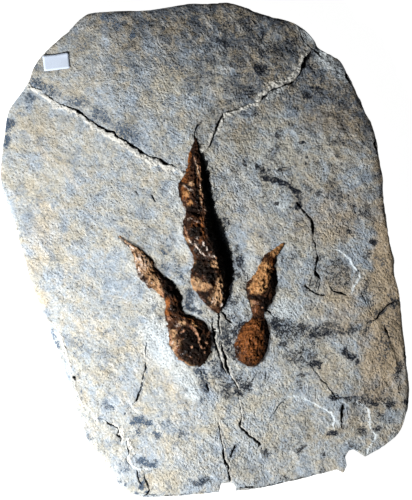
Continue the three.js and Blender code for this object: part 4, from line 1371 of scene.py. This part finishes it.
# %% Rusty patches
PATCHES["rust"] = [
    (-16.5, 86, 3.8, 15.3, 0.8, 8), (-19.5, 51.5, 3.8, 3.8, 1), (-14.5, 45, 2.9, 3.8, 0.8),
    (-2.5, 21, 2.1, 11.5, 0.8, -8), (-5, 8.5, 2.9, 2.9, 0.5), (-0.5, -12.5, 2.9, 1.9, 1),
    (-19.5, 67, 4.8, 4.3, 0.7), (-20.5, 57.5, 2.9, 3.8, 1), (-10, 24, 6.7, 3.8, 0.5),
    (-8, 69, 2.9, 7.6, 0.4), (-51, -8.5, 2.9, 6.7, 1, -35), (-36.5, -60, 4.8, 3.8, 1.1),
    (-35.5, -51.5, 2.4, 9.5, 1), (-14.5, -65, 8.6, 2.4, 0.9, 12), (-28, -49.5, 5.7, 7.6, 0.45),
    (-24.5, -95.5, 7.6, 7.6, 0.4), (-33, -29.5, 3.8, 4.8, 0.4), (43.5, -86, 16.2, 22.9, 1),
    (47.5, -55.5, 5.7, 4.8, 0.6), (63.5, -11.5, 4.8, 11.5, 0.8, 10), (65.5, -31.5, 1.3, 3.8, 1.2),
    (58, -30.5, 3.8, 7.6, 0.6, 10),
]
print("rusty patches:", len(PATCHES["rust"]))

# %% [markdown]
# Thin pinkish veins cross the pads, and where a ridge was rubbed it is almost white. Some of the
# small near-white marks are painted glints of the lamp on shiny ridges.

# %% Veins and worn ridges
PATCHES["vein"] = [
    (-11, -75.5, 2.1, 7.6, 1.1, -35), (-6, -84, 1.7, 5.7, 1.1, -10), (2.5, -80, 2.1, 4.8, 0.9),
    (1.5, -88.5, 1.9, 1.9, 1), (-2.5, -92.5, 2.9, 1.2, 1, 15), (-0.5, -97.5, 1.4, 1.2, 1),
    (-13, -92.5, 1.5, 1.3, 0.9), (-20.5, -76.5, 4.8, 1.3, 0.7, -30),
    (-15.5, -101, 3.8, 1.1, 0.7, 20), (-28, -97.5, 1.4, 5.7, 0.8, 10),
    (-22.5, -105, 5.7, 1.5, 0.9, 35), (-33, -86, 1.5, 7.6, 0.8), (-24.5, -87, 1.4, 1.1, 0.7),
    (-18.5, -93.5, 1.2, 1, 0.7), (-6, 78.5, 1, 7.6, 0.9, -14), (-5, 65, 1, 7.6, 0.8, -4),
    (-3, 49, 1, 7.6, 0.9, -8), (-0.5, 36.5, 1, 4.8, 0.8, -5), (-10, 86, 0.9, 5.7, 0.8, -14),
    (11, -7.5, 2.1, 1.5, 1), (5.5, -2, 1.3, 1.1, 0.8), (-18.5, 17.5, 1.1, 7.6, 0.7, -20),
    (-5, 21, 0.9, 6.7, 0.5, -12), (-40.5, -44, 1.2, 6.7, 0.8, -10),
    (-35.5, -65, 3.8, 2.4, 0.8, 10), (-38.5, -55.5, 1.4, 4.8, 0.7),
    (-43.5, -36, 1.3, 5.7, 0.7, -20), (48.5, -50.5, 4.8, 1.9, 0.7, 10),
    (54, -55.5, 1.4, 2.9, 0.5, 30),
]
PATCHES["pale"] = [
    (-9, 83, 0.9, 5.7, 0.6, -12), (-6, 73.5, 0.8, 5.7, 0.65, -14), (-5, 61, 1, 4.8, 0.5),
    (-4, 48, 0.8, 5.7, 0.5, -6), (-0.5, 38.5, 0.9, 3.8, 0.7), (-18.5, 59.5, 0.8, 5.7, 1, -50),
    (-14, 57, 2.7, 1.4, 1), (-15.5, 29.5, 5.7, 2.4, 0.45), (-8, 3, 1.2, 5.7, 1, -45),
    (-2.5, -3.5, 1.4, 4.3, 1.2, -45), (-1.5, 5, 1.4, 2.4, 1, -20), (7.5, -6.5, 2.5, 1.3, 1),
    (-14, 7.5, 1, 3.8, 0.7, -40), (-9, 4, 8.6, 4.8, 0.3, -45), (2.5, -5.5, 8.6, 3.8, 0.32, -25),
    (-6, 27, 8.6, 1.9, 0.4, 10), (8, -48.5, 3.3, 4.3, 0.6), (15, -52.5, 1.1, 2.5, 1.3, 25),
    (1.5, 1, 1, 2.4, 0.8), (-13, 63, 2.3, 2.1, 0.5), (16, -38, 1.9, 7.6, 0.4),
    (-31, -88.5, 1.1, 2.9, 1, 20), (-24.5, -72.5, 6.7, 4.8, 0.3), (-72, 4, 8.6, 4.8, 0.62, 40),
    (-60.5, -11.5, 7.6, 11.5, 0.7, -30), (-64.5, -20, 5.7, 9.5, 0.6, -20),
    (-58.5, -31.5, 4.8, 5.7, 0.5), (-32, -97.5, 2.9, 4.8, 0.35), (45.5, -28.5, 3.3, 2.9, 0.45),
    (51, -19, 2.9, 4.8, 0.3, 20),
]
print("veins:", len(PATCHES["vein"]), "worn ridges:", len(PATCHES["pale"]))

# %% [markdown]
# The three casts are made by one loop, and differ in their stations and in how many cells they
# get. Fine marks are bent less than broad ones when they are painted, or they would break up.

# %% Three casts
CELLS = {"middle_toe_cast": (60, 290), "left_toe_cast": (50, 230), "right_toe_cast": (50, 200)}
FINE_KINDS = ("vein", "pale")


def paint_patches(mesh):
    for kind, ellipses in PATCHES.items():
        layer = mesh.verts.layers.float.new(kind)
        bend = 0.6 if kind in FINE_KINDS else 1.3
        for vert in mesh.verts:
            x, y = vert.co.x, vert.co.y
            bent = x + bend * wavy(x, y + 31, 5, 3), y + bend * wavy(x + 17, y, 5, 3)
            vert[layer] = ellipse_field(ellipses, *bent)


cast_pieces = {}
for name, cells in CELLS.items():
    mesh = model_cast(name, *cells)
    paint_patches(mesh)
    top = max(vert.co.z for vert in mesh.verts)
    print(name, "stands", round(top - TOP, 1), "mm above the bedding plane")
    cast_pieces[name] = finish_piece(mesh, name.replace("_cast", "_ironstone"), name)

# %% [markdown]
# ## The sticker
# A paper sticker has rounded corners, hardly any thickness, and after years its upper edge lifts.
# A cube would give it six faces that can't bend, so we round the corners of one flat face and cut
# it into small cells.

# %% Cut the paper
CUTS_ACROSS, CUTS_UP = 11, 6

sticker = bmesh.new()
bmesh.ops.create_grid(sticker, x_segments=1, y_segments=1, size=0.5)
bmesh.ops.scale(sticker, vec=(LABEL["width"], LABEL["height"], 1), verts=sticker.verts)
bmesh.ops.bevel(
    sticker, geom=sticker.verts[:], affect="VERTICES", offset=LABEL["corner"], segments=6,
    profile=0.5, material=-1,
)
for normal, length, cuts in (
    (Vector((1, 0, 0)), LABEL["width"], CUTS_ACROSS),
    (Vector((0, 1, 0)), LABEL["height"], CUTS_UP),
):
    for step in range(1, cuts + 1):
        place = (step / (cuts + 1) - 0.5) * length * normal
        geom = sticker.verts[:] + sticker.edges[:] + sticker.faces[:]
        bmesh.ops.bisect_plane(sticker, geom=geom, plane_co=place, plane_no=normal)
print("paper cells:", len(sticker.faces))

# %% [markdown]
# The upper edge and most of all its corners lift off the stone. After that the paper gets its
# thickness, which grows away from the side that the faces look to, so they have to look up first.

# %% Lift and thickness
PAPER_THICKNESS = 0.18
GLUE = 0.3

for vert in sticker.verts:
    across, up = vert.co.x / LABEL["width"], vert.co.y / LABEL["height"]
    lift = max(0, abs(across) + up - 0.55) + 0.5 * max(0, up - 0.2)
    vert.co.z = GLUE + 2.2 * lift**1.5 + 0.05 * math.sin(vert.co.x / 3)
bmesh.ops.recalc_face_normals(sticker, faces=sticker.faces)
if sum(face.normal.z for face in sticker.faces) < 0:
    bmesh.ops.reverse_faces(sticker, faces=sticker.faces)
bmesh.ops.solidify(sticker, geom=sticker.faces[:], thickness=PAPER_THICKNESS)
for face in sticker.faces:
    face.smooth = True
print("highest point of the paper:", round(max(vert.co.z for vert in sticker.verts), 2), "mm")

# %% [markdown]
# The finished sticker is turned a little and laid on the stone.

# %% Place the sticker
ABOVE_STONE = 0.15

bmesh.ops.rotate(
    sticker, verts=sticker.verts, cent=(0, 0, 0),
    matrix=Matrix.Rotation(math.radians(LABEL["turn"]), 3, "Z"),
)
place = (LABEL["x"], LABEL["y"], TOP + ABOVE_STONE)
bmesh.ops.translate(sticker, verts=sticker.verts, vec=place)
sticker_piece = finish_piece(sticker, "paper_sticker", "specimen_label")

# %% [markdown]
# ## Building materials
# A material is a tree of nodes, and a few helpers keep the trees readable. The first makes a node
# and feeds its inputs, where a value may be a number, a colour or another node's output.

# %% A node and its inputs
def feed(socket, value):
    if isinstance(value, bpy.types.NodeSocket):
        socket.id_data.links.new(value, socket)
    else:
        socket.default_value = value


def add(tree, kind, inputs=None, **settings):
    made = tree.nodes.new("ShaderNode" + kind)
    for key, value in settings.items():
        setattr(made, key, value)
    for key, value in (inputs or {}).items():
        feed(made.inputs[key], value)
    return made


def new_material(name, roughness, specular):
    made = bpy.data.materials.new(name)
    made.use_nodes = True
    shader = made.node_tree.nodes["Principled BSDF"]
    shader.inputs["Roughness"].default_value = roughness
    shader.inputs["Specular IOR Level"].default_value = specular
    return made, made.node_tree, shader


def tell_nodes(material):
    print(material.name, "now has", len(material.node_tree.nodes), "nodes")


print("a node is made with", add.__name__, "and a material with", new_material.__name__)

# %% [markdown]
# Masks are numbers between 0 and 1, so they are worked out with small sums. A step with soft ends
# turns noise into a mask, and a change of range makes a number of a mask again.

# %% Sums and masks
def maths(tree, how, *values, clamp=False):
    inputs = dict(enumerate(values))
    return add(tree, "Math", inputs, operation=how, use_clamp=clamp).outputs[0]


def times(tree, a, b):
    return maths(tree, "MULTIPLY", a, b)


def plus(tree, a, b, share=1.0):
    """a, with a share of b added to it."""
    return maths(tree, "MULTIPLY_ADD", b, share, a)


def between(tree, value, low, high):
    """0 up to low and 1 from high on, or the other way round where low is the larger one."""
    inputs = {"Value": value, "From Min": low, "From Max": high}
    return add(tree, "MapRange", inputs, interpolation_type="SMOOTHSTEP").outputs[0]


def ranged(tree, value, low, high, new_low, new_high):
    """The value, carried from one range over to another."""
    inputs = {"Value": value, "From Min": low, "From Max": high, "To Min": new_low,
              "To Max": new_high}
    return add(tree, "MapRange", inputs).outputs[0]


print("sums:", [helper.__name__ for helper in (maths, times, plus, between, ranged)])

# %% [markdown]
# Colour is laid on in coats, as on a model: a base, and then paint over paint, each where its mask
# lets it through. The masks come from noise, from the fields that the pieces carry, and from both:
# a smooth field with noise added to it breaks up into veins and specks at its rim.

# %% Noise, fields and coats of paint
def rgb(r, g, b):
    return (r, g, b, 1)


def layered(tree, vector, size, detail, rough, bend=0.0):
    """Layered noise whose largest patches are about size millimetres wide."""
    inputs = {"Vector": vector, "Scale": 1 / (size * MM), "Detail": detail, "Roughness": rough,
              "Distortion": bend}
    return add(tree, "TexNoise", inputs).outputs[0]


def field(tree, name):
    return add(tree, "Attribute", attribute_name=name).outputs["Fac"]


def broken_up(tree, value, noise_mask, amount, low, high):
    """A smooth field broken up by noise: more of the noise shows as the field grows."""
    return between(tree, plus(tree, noise_mask, value, amount), low, high)


def blend(tree, share, a, b):
    inputs = {0: share, 6: a, 7: b}
    return add(tree, "Mix", inputs, data_type="RGBA").outputs[2]


def over(tree, colour, mask, strength, paint):
    """The colour with a paint over it where the mask is, never more than the strength."""
    return blend(tree, maths(tree, "MULTIPLY", mask, strength, clamp=True), colour, paint)


def coats(tree, colour, *layers):
    """The colour with coats of paint over it, each a mask, a strength and a paint."""
    for mask, strength, paint in layers:
        colour = over(tree, colour, mask, strength, paint)
    return colour


print("paint helpers:", [helper.__name__ for helper in (layered, broken_up, blend, coats)])

# %% [markdown]
# Both kinds of stone have a grain of pits and crumbs, so the grain is one node group with its own
# sizes, placed in both materials. It gives a height for the bump and a mask of the pits, which the
# materials darken as painted shade.

# %% Stone grain group
def new_group(name, inputs, outputs):
    group = bpy.data.node_groups.new(name, "ShaderNodeTree")
    for label, kind in inputs:
        group.interface.new_socket(label, in_out="INPUT", socket_type="NodeSocket" + kind)
    for label, kind in outputs:
        group.interface.new_socket(label, in_out="OUTPUT", socket_type="NodeSocket" + kind)
    given, result = group.nodes.new("NodeGroupInput"), group.nodes.new("NodeGroupOutput")
    return group, given.outputs, result.inputs


grain, given, result = new_group(
    "stone_grain",
    [("Vector", "Vector"), ("Coarse scale", "Float"), ("Fine scale", "Float")],
    [("Height", "Float"), ("Pits", "Float")],
)
lumps = add(grain, "TexNoise", {"Vector": given["Vector"], "Scale": given["Coarse scale"],
                                "Detail": 3.0, "Roughness": 0.52}).outputs[0]
crumbs = add(grain, "TexNoise", {"Vector": given["Vector"], "Scale": given["Fine scale"],
                                 "Detail": 2.5, "Roughness": 0.6}).outputs[0]
holes = between(grain, crumbs, 0.40, 0.31)
height = plus(grain, times(grain, lumps, 0.7), crumbs, 0.6)
feed(result["Height"], plus(grain, height, holes, -0.12))
feed(result["Pits"], holes)


def stone_grain(tree, vector, coarse, fine):
    """The height and the pits of stone whose lumps and crumbs are given in millimetres."""
    placed = add(tree, "Group", node_tree=grain)
    feed(placed.inputs["Vector"], vector)
    feed(placed.inputs["Coarse scale"], 1 / (coarse * MM))
    feed(placed.inputs["Fine scale"], 1 / (fine * MM))
    return placed.outputs["Height"], placed.outputs["Pits"]


print("group", grain.name, "with", len(grain.nodes), "nodes")

# %% [markdown]
# ## Limestone
# Seen from a step away the slab is cream and pale grey, with tan clouds, blue-grey mottles and, to
# one side, a darker brown-grey skin. Close up there are crumbs and dark pits. We build it in that
# order, each layer with noise of its own size. The noise is read at the stone's own place, so it
# stays on the stone from every side. One noise is swept slantwise, as if dragged by water.

# %% Limestone, its noises
limestone, tree, shader = new_material("limestone", roughness=0.93, specular=0.12)
place = add(tree, "TexCoord").outputs["Object"]
rightward = add(tree, "SeparateXYZ", {0: place}).outputs[0]
sweep = {"Vector": place, "Rotation": (0, 0, math.radians(-52)), "Scale": (3.2, 1, 1)}
swept = add(tree, "Mapping", sweep, vector_type="TEXTURE").outputs[0]
clouds = layered(tree, place, 26, detail=8, rough=0.7, bend=0.3)
patches = layered(tree, place, 11, detail=7, rough=0.7, bend=0.4)
freckles = layered(tree, place, 3.1, detail=6, rough=0.72)
specks = layered(tree, place, 1.9, detail=5, rough=0.7)
streaks = layered(tree, swept, 6, detail=6, rough=0.66)
height, pits = stone_grain(tree, place, coarse=7, fine=2.1)
tell_nodes(limestone)

# %% [markdown]
# The body of the stone is cool grey and cream in clouds. Ochre, brown and slate patches come over
# it, and the swept noise draws chalky and dark streaks.

# %% Limestone, body colour
COOL, CREAM = rgb(0.36, 0.42, 0.48), rgb(0.53, 0.505, 0.42)
OCHRE, BROWN = rgb(0.60, 0.50, 0.345), rgb(0.47, 0.40, 0.29)
SLATE, CHALK, SMOKE = rgb(0.22, 0.265, 0.325), rgb(0.64, 0.645, 0.635), rgb(0.22, 0.235, 0.26)

tan = field(tree, "tan")
yellow = plus(tree, layered(tree, swept, 38, detail=6, rough=0.66), tan, 0.2)
colour = blend(tree, between(tree, clouds, 0.36, 0.64), COOL, CREAM)
colour = coats(
    tree, colour,
    (between(tree, yellow, 0.57, 0.75), 0.55, OCHRE),
    (between(tree, patches, 0.5, 0.66), 0.45, BROWN),
    (between(tree, patches, 0.49, 0.36), 0.65, SLATE),
    (between(tree, streaks, 0.52, 0.68), 0.45, CHALK),
    (between(tree, streaks, 0.47, 0.34), 0.4, SMOKE),
)
tell_nodes(limestone)

# %% [markdown]
# Along the right edge the tan clouds are strongest. The old skin lies over everything. It is a
# mix of its own, from nearly black to brown, with pale streaks and dark freckles.

# %% Limestone, tan edge and old skin
TAN = rgb(0.475, 0.365, 0.235)
NIGHT, UMBER = rgb(0.042, 0.052, 0.072), rgb(0.31, 0.255, 0.178)
ASH, COAL = rgb(0.44, 0.43, 0.40), rgb(0.018, 0.021, 0.030)

tan_clouds = broken_up(tree, tan, clouds, 0.5, 0.44, 0.8)
warm = times(tree, between(tree, rightward, 0.03, 0.18), tan_clouds)
old = coats(
    tree, blend(tree, between(tree, patches, 0.43, 0.6), NIGHT, UMBER),
    (between(tree, streaks, 0.53, 0.66), 0.75, ASH),
    (between(tree, freckles, 0.47, 0.38), 0.9, COAL),
)
skin = field(tree, "skin")
skin_mask = broken_up(tree, skin, clouds, 0.5, 0.45, 1.0)
colour = coats(tree, colour, (warm, 0.9, TAN), (skin_mask, 0.85, old))
tell_nodes(limestone)

# %% [markdown]
# The surface is dented by small pocks, and by thin seams, which follow the line where a noise
# crosses its middle value. Dents are deeper where the skin is old, and from the middle to the
# right the stone crumbles and is darker in the crumbs.

# %% Limestone, pocks, seams and crumbs
CRUMB = rgb(0.10, 0.12, 0.15)

pocks = between(tree, layered(tree, place, 8, detail=4, rough=0.62, bend=0.5), 0.55, 0.63)
wandering = layered(tree, place, 13, detail=5, rough=0.62, bend=0.4)
from_seam = maths(tree, "ABSOLUTE", plus(tree, wandering, -0.5))
seams = times(tree, between(tree, from_seam, 0.016, 0.002), between(tree, patches, 0.5, 0.6))
dents = times(tree, plus(tree, pocks, seams, 0.6), plus(tree, 0.08, skin, 0.9))
crumbly = times(tree, between(tree, freckles, 0.43, 0.35), between(tree, rightward, -0.15, 0.1))
colour = over(tree, colour, crumbly, 0.34, CRUMB)
tell_nodes(limestone)

# %% [markdown]
# The broken sides show the layers of the stone. The noise for them is stretched fourteen times in
# both level directions, so that it changes fast only with the height.

# %% Limestone, broken sides
CLAY, SHADOW = rgb(0.36, 0.30, 0.22), rgb(0.085, 0.085, 0.085)

level = {"Vector": place, "Scale": (14, 14, 1)}
flat = add(tree, "Mapping", level, vector_type="TEXTURE").outputs[0]
sheets = layered(tree, flat, 3.4, detail=6, rough=0.68)
side = field(tree, "broken")
lines = times(tree, side, between(tree, sheets, 0.47, 0.37))
bands = times(tree, side, between(tree, sheets, 0.5, 0.62))
colour = coats(tree, colour, (bands, 0.6, CLAY), (lines, 0.8, SHADOW))
tell_nodes(limestone)

# %% [markdown]
# Fresh stone is a cold near-white, and the same white lies as a painted highlight on the rims of
# sharp ledges. The dark minerals come in two coats: a thin grey fog, and over it fine specks of
# ink, dense at the middle of a blotch and scattered at its rim. Where the stain is at its
# strongest, and under the painted shadow beside the middle toe, it closes to black.

# %% Limestone, fresh stone, stains and painted shadow
FRESH_AND_HIGHLIGHT_WHITE, FOG = rgb(0.60, 0.655, 0.68), rgb(0.16, 0.195, 0.245)
BLUE_INK, BLACK_INK = rgb(0.052, 0.080, 0.122), rgb(0.005, 0.008, 0.016)
CRUST_AND_TOE_SHADOW = rgb(0.006, 0.006, 0.008)

# Fresh stone and the painted highlights on ledge rims share one pale paint.
fresh_and_rim_highlight = broken_up(tree, field(tree, "fresh_and_rim_highlight"), patches, 1.0, 0.6, 1.4)
stain_and_toe_shadow = field(tree, "stain")
fog = broken_up(tree, stain_and_toe_shadow, freckles, 0.7, 0.55, 1.05)
dots = times(tree, plus(tree, freckles, specks), 0.5)
closing = times(tree, between(tree, stain_and_toe_shadow, 0.98, 1.2), 0.2)
ink_mask = broken_up(tree, stain_and_toe_shadow, plus(tree, dots, closing), 0.19, 0.573, 0.598)
ink_mask = times(tree, ink_mask, between(tree, stain_and_toe_shadow, 0.08, 0.25))
ink = blend(tree, between(tree, rightward, -0.06, 0.04), BLUE_INK, BLACK_INK)
# Under the painted shadow beside the middle toe, and in the strongest stains, the ink closes to
# black.
ink = blend(tree, between(tree, stain_and_toe_shadow, 0.98, 1.1), ink, CRUST_AND_TOE_SHADOW)
colour = coats(tree, colour, (fresh_and_rim_highlight, 0.72, FRESH_AND_HIGHLIGHT_WHITE), (fog, 0.42, FOG), (ink_mask, 0.98, ink))
tell_nodes(limestone)

# %% [markdown]
# Rust lies round the casts and pale filler beside the joints. After that the whole colour is
# made a little lighter and darker by fine specks, as each grain of the stone has its own shade.
# Dark specks, painted shade in the pits, and painted shade in the cracks, along the casts and
# beside the middle toe come last, because they lie over everything.

# %% Limestone, rust, filler and painted shade
RUST, FILLER = rgb(0.23, 0.12, 0.06), rgb(0.63, 0.615, 0.56)
GREY_PIT, PIT, PAINTED_SHADE_BLACK = rgb(0.04, 0.045, 0.055), rgb(0.07, 0.07, 0.075), rgb(0.006, 0.006, 0.007)

rust = broken_up(tree, field(tree, "rust"), freckles, 0.3, 0.6, 0.8)
filler = broken_up(tree, field(tree, "filler"), freckles, 0.5, 0.5, 0.85)
colour = coats(tree, colour, (rust, 0.6, RUST), (filler, 0.85, FILLER))
shade = plus(tree, 0.15, specks, 1.7)
colour = add(tree, "VectorMath", {0: colour, "Scale": shade}, operation="SCALE").outputs[0]
colour = coats(
    tree, colour,
    (between(tree, specks, 0.37, 0.31), 0.8, GREY_PIT),
    # Painted shade in the pits of the grain.
    (pits, 0.5, PIT),
    # Painted shade in the cracks, along the casts and beside the middle toe.
    (field(tree, "painted_shade"), 0.97, PAINTED_SHADE_BLACK),
)
feed(shader.inputs["Base Color"], colour)
tell_nodes(limestone)

# %% [markdown]
# Grain too fine for the mesh goes into a bump. It is weaker in wide worn patches and towards the
# left, and stronger on the old skin. The thin layers of the sides and the dents are cut into it.

# %% Limestone, bump
GRAIN_DEPTH = 2.4

worn = ranged(tree, layered(tree, place, 60, detail=3, rough=0.5), 0.35, 0.62, 0.5, 1.1)
worn = plus(tree, worn, skin, 0.8)
worn = times(tree, worn, ranged(tree, rightward, -0.16, 0, 0.62, 1))
height = times(tree, plus(tree, height, streaks, 0.5), worn)
height = plus(tree, plus(tree, height, lines, -0.5), dents, -0.3)
bump = add(tree, "Bump", {"Height": height, "Strength": 1, "Distance": GRAIN_DEPTH * MM})
feed(shader.inputs["Normal"], bump.outputs[0])
slab_piece.data.materials.append(limestone)
tell_nodes(limestone)

# %% [markdown]
# ## Ironstone
# The casts are dark brown with an oily sheen, golden where the skin is thin, black where manganese
# coats it and where shade is painted on steep sides and in grooves, tan and pinkish where it is
# worn, and near-white in a few painted glints. The base is two browns in clouds, and the fibres
# that the casts carry, with flecks in them, tell where a paint is at its full colour.

# %% Ironstone, base
DARK_BROWN, WARM_BROWN = rgb(0.010, 0.0055, 0.004), rgb(0.074, 0.031, 0.015)

ironstone, tree, shader = new_material("ironstone", roughness=0.7, specular=0.04)
place = add(tree, "TexCoord").outputs["Object"]
clouds = layered(tree, place, 8, detail=7, rough=0.7, bend=0.6)
fray = layered(tree, place, 3.2, detail=7, rough=0.74, bend=0.4)
flecks = layered(tree, place, 1.6, detail=4, rough=0.68)
height, pits = stone_grain(tree, place, coarse=3.6, fine=1.6)
strand = broken_up(tree, field(tree, "fibre"), flecks, 0.5, 0.3, 0.72)
colour = blend(tree, between(tree, clouds, 0.40, 0.64), DARK_BROWN, WARM_BROWN)
tell_nodes(ironstone)

# %% [markdown]
# Each kind of patch is a coat of two paints: a worn one on the strands and a deep one between
# them. The coats differ only in numbers, so they are rows of a table: how much the field counts
# against the noise, where the coat begins and is full, how well it covers, and the two paints.

# %% Ironstone, patches
COATS = {
    "rust": (0.38, 0.58, 0.78, 0.93, rgb(0.27, 0.093, 0.026), rgb(0.095, 0.031, 0.009)),
    "gold": (0.52, 0.58, 0.84, 0.92, rgb(0.55, 0.30, 0.13), rgb(0.36, 0.165, 0.06)),
    "tan": (0.52, 0.58, 0.84, 0.92, rgb(0.46, 0.285, 0.155), rgb(0.33, 0.18, 0.09)),
    # Black is partly a manganese coat and partly painted shade on steep sides and in grooves.
    "black": (0.36, 0.60, 0.74, 0.96, rgb(0.010, 0.007, 0.005), rgb(0.003, 0.0022, 0.0018)),
    # The flank coat is painted shade on the casts' steep right sides.
    "flank": (0.32, 0.60, 0.78, 0.94, rgb(0.014, 0.008, 0.005), rgb(0.003, 0.0022, 0.0018)),
    "vein": (0.34, 0.62, 0.76, 0.90, rgb(0.42, 0.23, 0.14), rgb(0.20, 0.09, 0.05)),
    # Pale is worn stone, and in places a painted glint.
    "pale": (0.34, 0.62, 0.84, 0.90, rgb(0.70, 0.60, 0.53), rgb(0.46, 0.34, 0.26)),
}

for kind, (weight, begins, full, cover, worn_paint, deep_paint) in COATS.items():
    mask = broken_up(tree, field(tree, kind), fray, weight, begins, full)
    colour = over(tree, colour, mask, cover, blend(tree, strand, deep_paint, worn_paint))
tell_nodes(ironstone)

# %% [markdown]
# Hollows of the cast and pits of the grain are painted darker as shade, and gaps in the noise are
# darker as well.

# %% Ironstone, painted shade in hollows and pits
HOLLOW = rgb(0.014, 0.006, 0.004)
GAP, PIT_BROWN = rgb(0.020, 0.009, 0.005), rgb(0.008, 0.004, 0.003)

colour = coats(
    tree, colour,
    # Painted shade in the hollows of the cast.
    (broken_up(tree, field(tree, "hollow"), flecks, 0.6, 0.6, 1.2), 0.6, HOLLOW),
    (between(tree, fray, 0.42, 0.30), 0.22, GAP),
    # Painted shade in the pits of the grain.
    (pits, 0.22, PIT_BROWN),
)
feed(shader.inputs["Base Color"], colour)
tell_nodes(ironstone)

# %% [markdown]
# The oily sheen is a clear coat. It lies on the worn pale ridges and in small flecks elsewhere,
# and the stone under it is duller in some clouds than in others.

# %% Ironstone, sheen and bump
SHEEN_ROUGHNESS = 0.28
FIBRE_DEPTH = 2.1

rough = ranged(tree, clouds, 0.35, 0.65, 0.55, 0.85)
polished = broken_up(tree, field(tree, "pale"), fray, 0.4, 0.62, 0.9)
oily = times(tree, between(tree, clouds, 0.42, 0.62), between(tree, flecks, 0.44, 0.6))
gloss = maths(tree, "MAXIMUM", times(tree, polished, 0.6), times(tree, oily, 0.25))
bump = add(tree, "Bump", {"Height": height, "Strength": 1, "Distance": FIBRE_DEPTH * MM})
shader.inputs["Coat Roughness"].default_value = SHEEN_ROUGHNESS
feed(shader.inputs["Roughness"], rough)
feed(shader.inputs["Coat Weight"], gloss)
feed(shader.inputs["Normal"], bump.outputs[0])
for piece in cast_pieces.values():
    piece.data.materials.append(ironstone)
tell_nodes(ironstone)

# %% [markdown]
# ## Paper
# Coated sticker paper is a cool white with the faintest fibres and a few wide smudges.

# %% Paper material
CLEAN, SMUDGED = rgb(0.62, 0.70, 0.83), rgb(0.58, 0.65, 0.76)

paper, tree, shader = new_material("paper", roughness=0.55, specular=0.3)
place = add(tree, "TexCoord").outputs["Object"]
paper_fibres = layered(tree, place, 1.2, detail=4, rough=0.6)
smudges = layered(tree, place, 30, detail=3, rough=0.5)
colour = blend(tree, between(tree, smudges, 0.4, 0.75), CLEAN, SMUDGED)
feed(shader.inputs["Base Color"], colour)
bump = add(tree, "Bump", {"Height": paper_fibres, "Strength": 0.1, "Distance": 0.2 * MM})
feed(shader.inputs["Normal"], bump.outputs[0])
sticker_piece.data.materials.append(paper)
tell_nodes(paper)

# %% [markdown]
# ## Floor and light
# The slab lies on a plain white floor, far wider than any view. It glows a little, so that it
# stays white although hardly any light falls on it, and it lies a hair below the slab, because
# two faces at the same height would flicker.

# %% Floor
FLOOR_HALF = 40
FLOOR_GAP = 0.3
FLOOR_GLOW = 0.985

floor_mesh = bmesh.new()
bmesh.ops.create_grid(floor_mesh, x_segments=1, y_segments=1, size=FLOOR_HALF)
bmesh.ops.translate(floor_mesh, vec=(0, 0, -FLOOR_GAP * MM), verts=floor_mesh.verts)
floor = mesh_object(floor_mesh, "floor")
white, tree, shader = new_material("white_floor", roughness=0.9, specular=0.1)
shader.inputs["Base Color"].default_value = rgb(0.5, 0.5, 0.5)
shader.inputs["Emission Color"].default_value = rgb(1, 1, 1)
shader.inputs["Emission Strength"].default_value = FLOOR_GLOW
floor.data.materials.append(white)
print("floor:", 2 * FLOOR_HALF, "m wide")

# %% [markdown]
# One lamp stands low beyond the lower-left corner. Such a low light turns every step in the stone
# into a bright line or a shadow. The lamp is small, so that the shadows have clean edges.

# %% Lamp
LAMP_PLACE = Vector((-0.56, -0.37, 0.47))
LAMP_AIM = Vector((0.08, 0.1, 0.028))
LAMP_WIDTH = 0.06
LAMP_WATTS = 13.6

lamp = new_object("lamp", bpy.data.lights.new("lamp", "AREA"))
lamp.data.shape = "DISK"
lamp.data.size = LAMP_WIDTH
lamp.data.energy = LAMP_WATTS
lamp.data.color = (1, 1, 1)
lamp.location = LAMP_PLACE
lamp.rotation_euler = (LAMP_PLACE - LAMP_AIM).to_track_quat("Z", "Y").to_euler()
print("lamp at", [round(c, 3) for c in lamp.location])

# %% [markdown]
# Hardly any light fills the shadows: the room around is almost dark and faintly blue. The colours
# are shown as they are, without a film look.

# %% Room light
ROOM_COLOUR = rgb(0.9, 0.95, 1)
ROOM_LIGHT = 0.02

world = bpy.data.worlds.new("studio")
world.use_nodes = True
background = world.node_tree.nodes["Background"]
background.inputs["Color"].default_value = ROOM_COLOUR
background.inputs["Strength"].default_value = ROOM_LIGHT
bpy.context.scene.world = world
bpy.context.scene.view_settings.view_transform = "Standard"
bpy.context.scene.view_settings.look = "None"
print("room light:", ROOM_LIGHT)
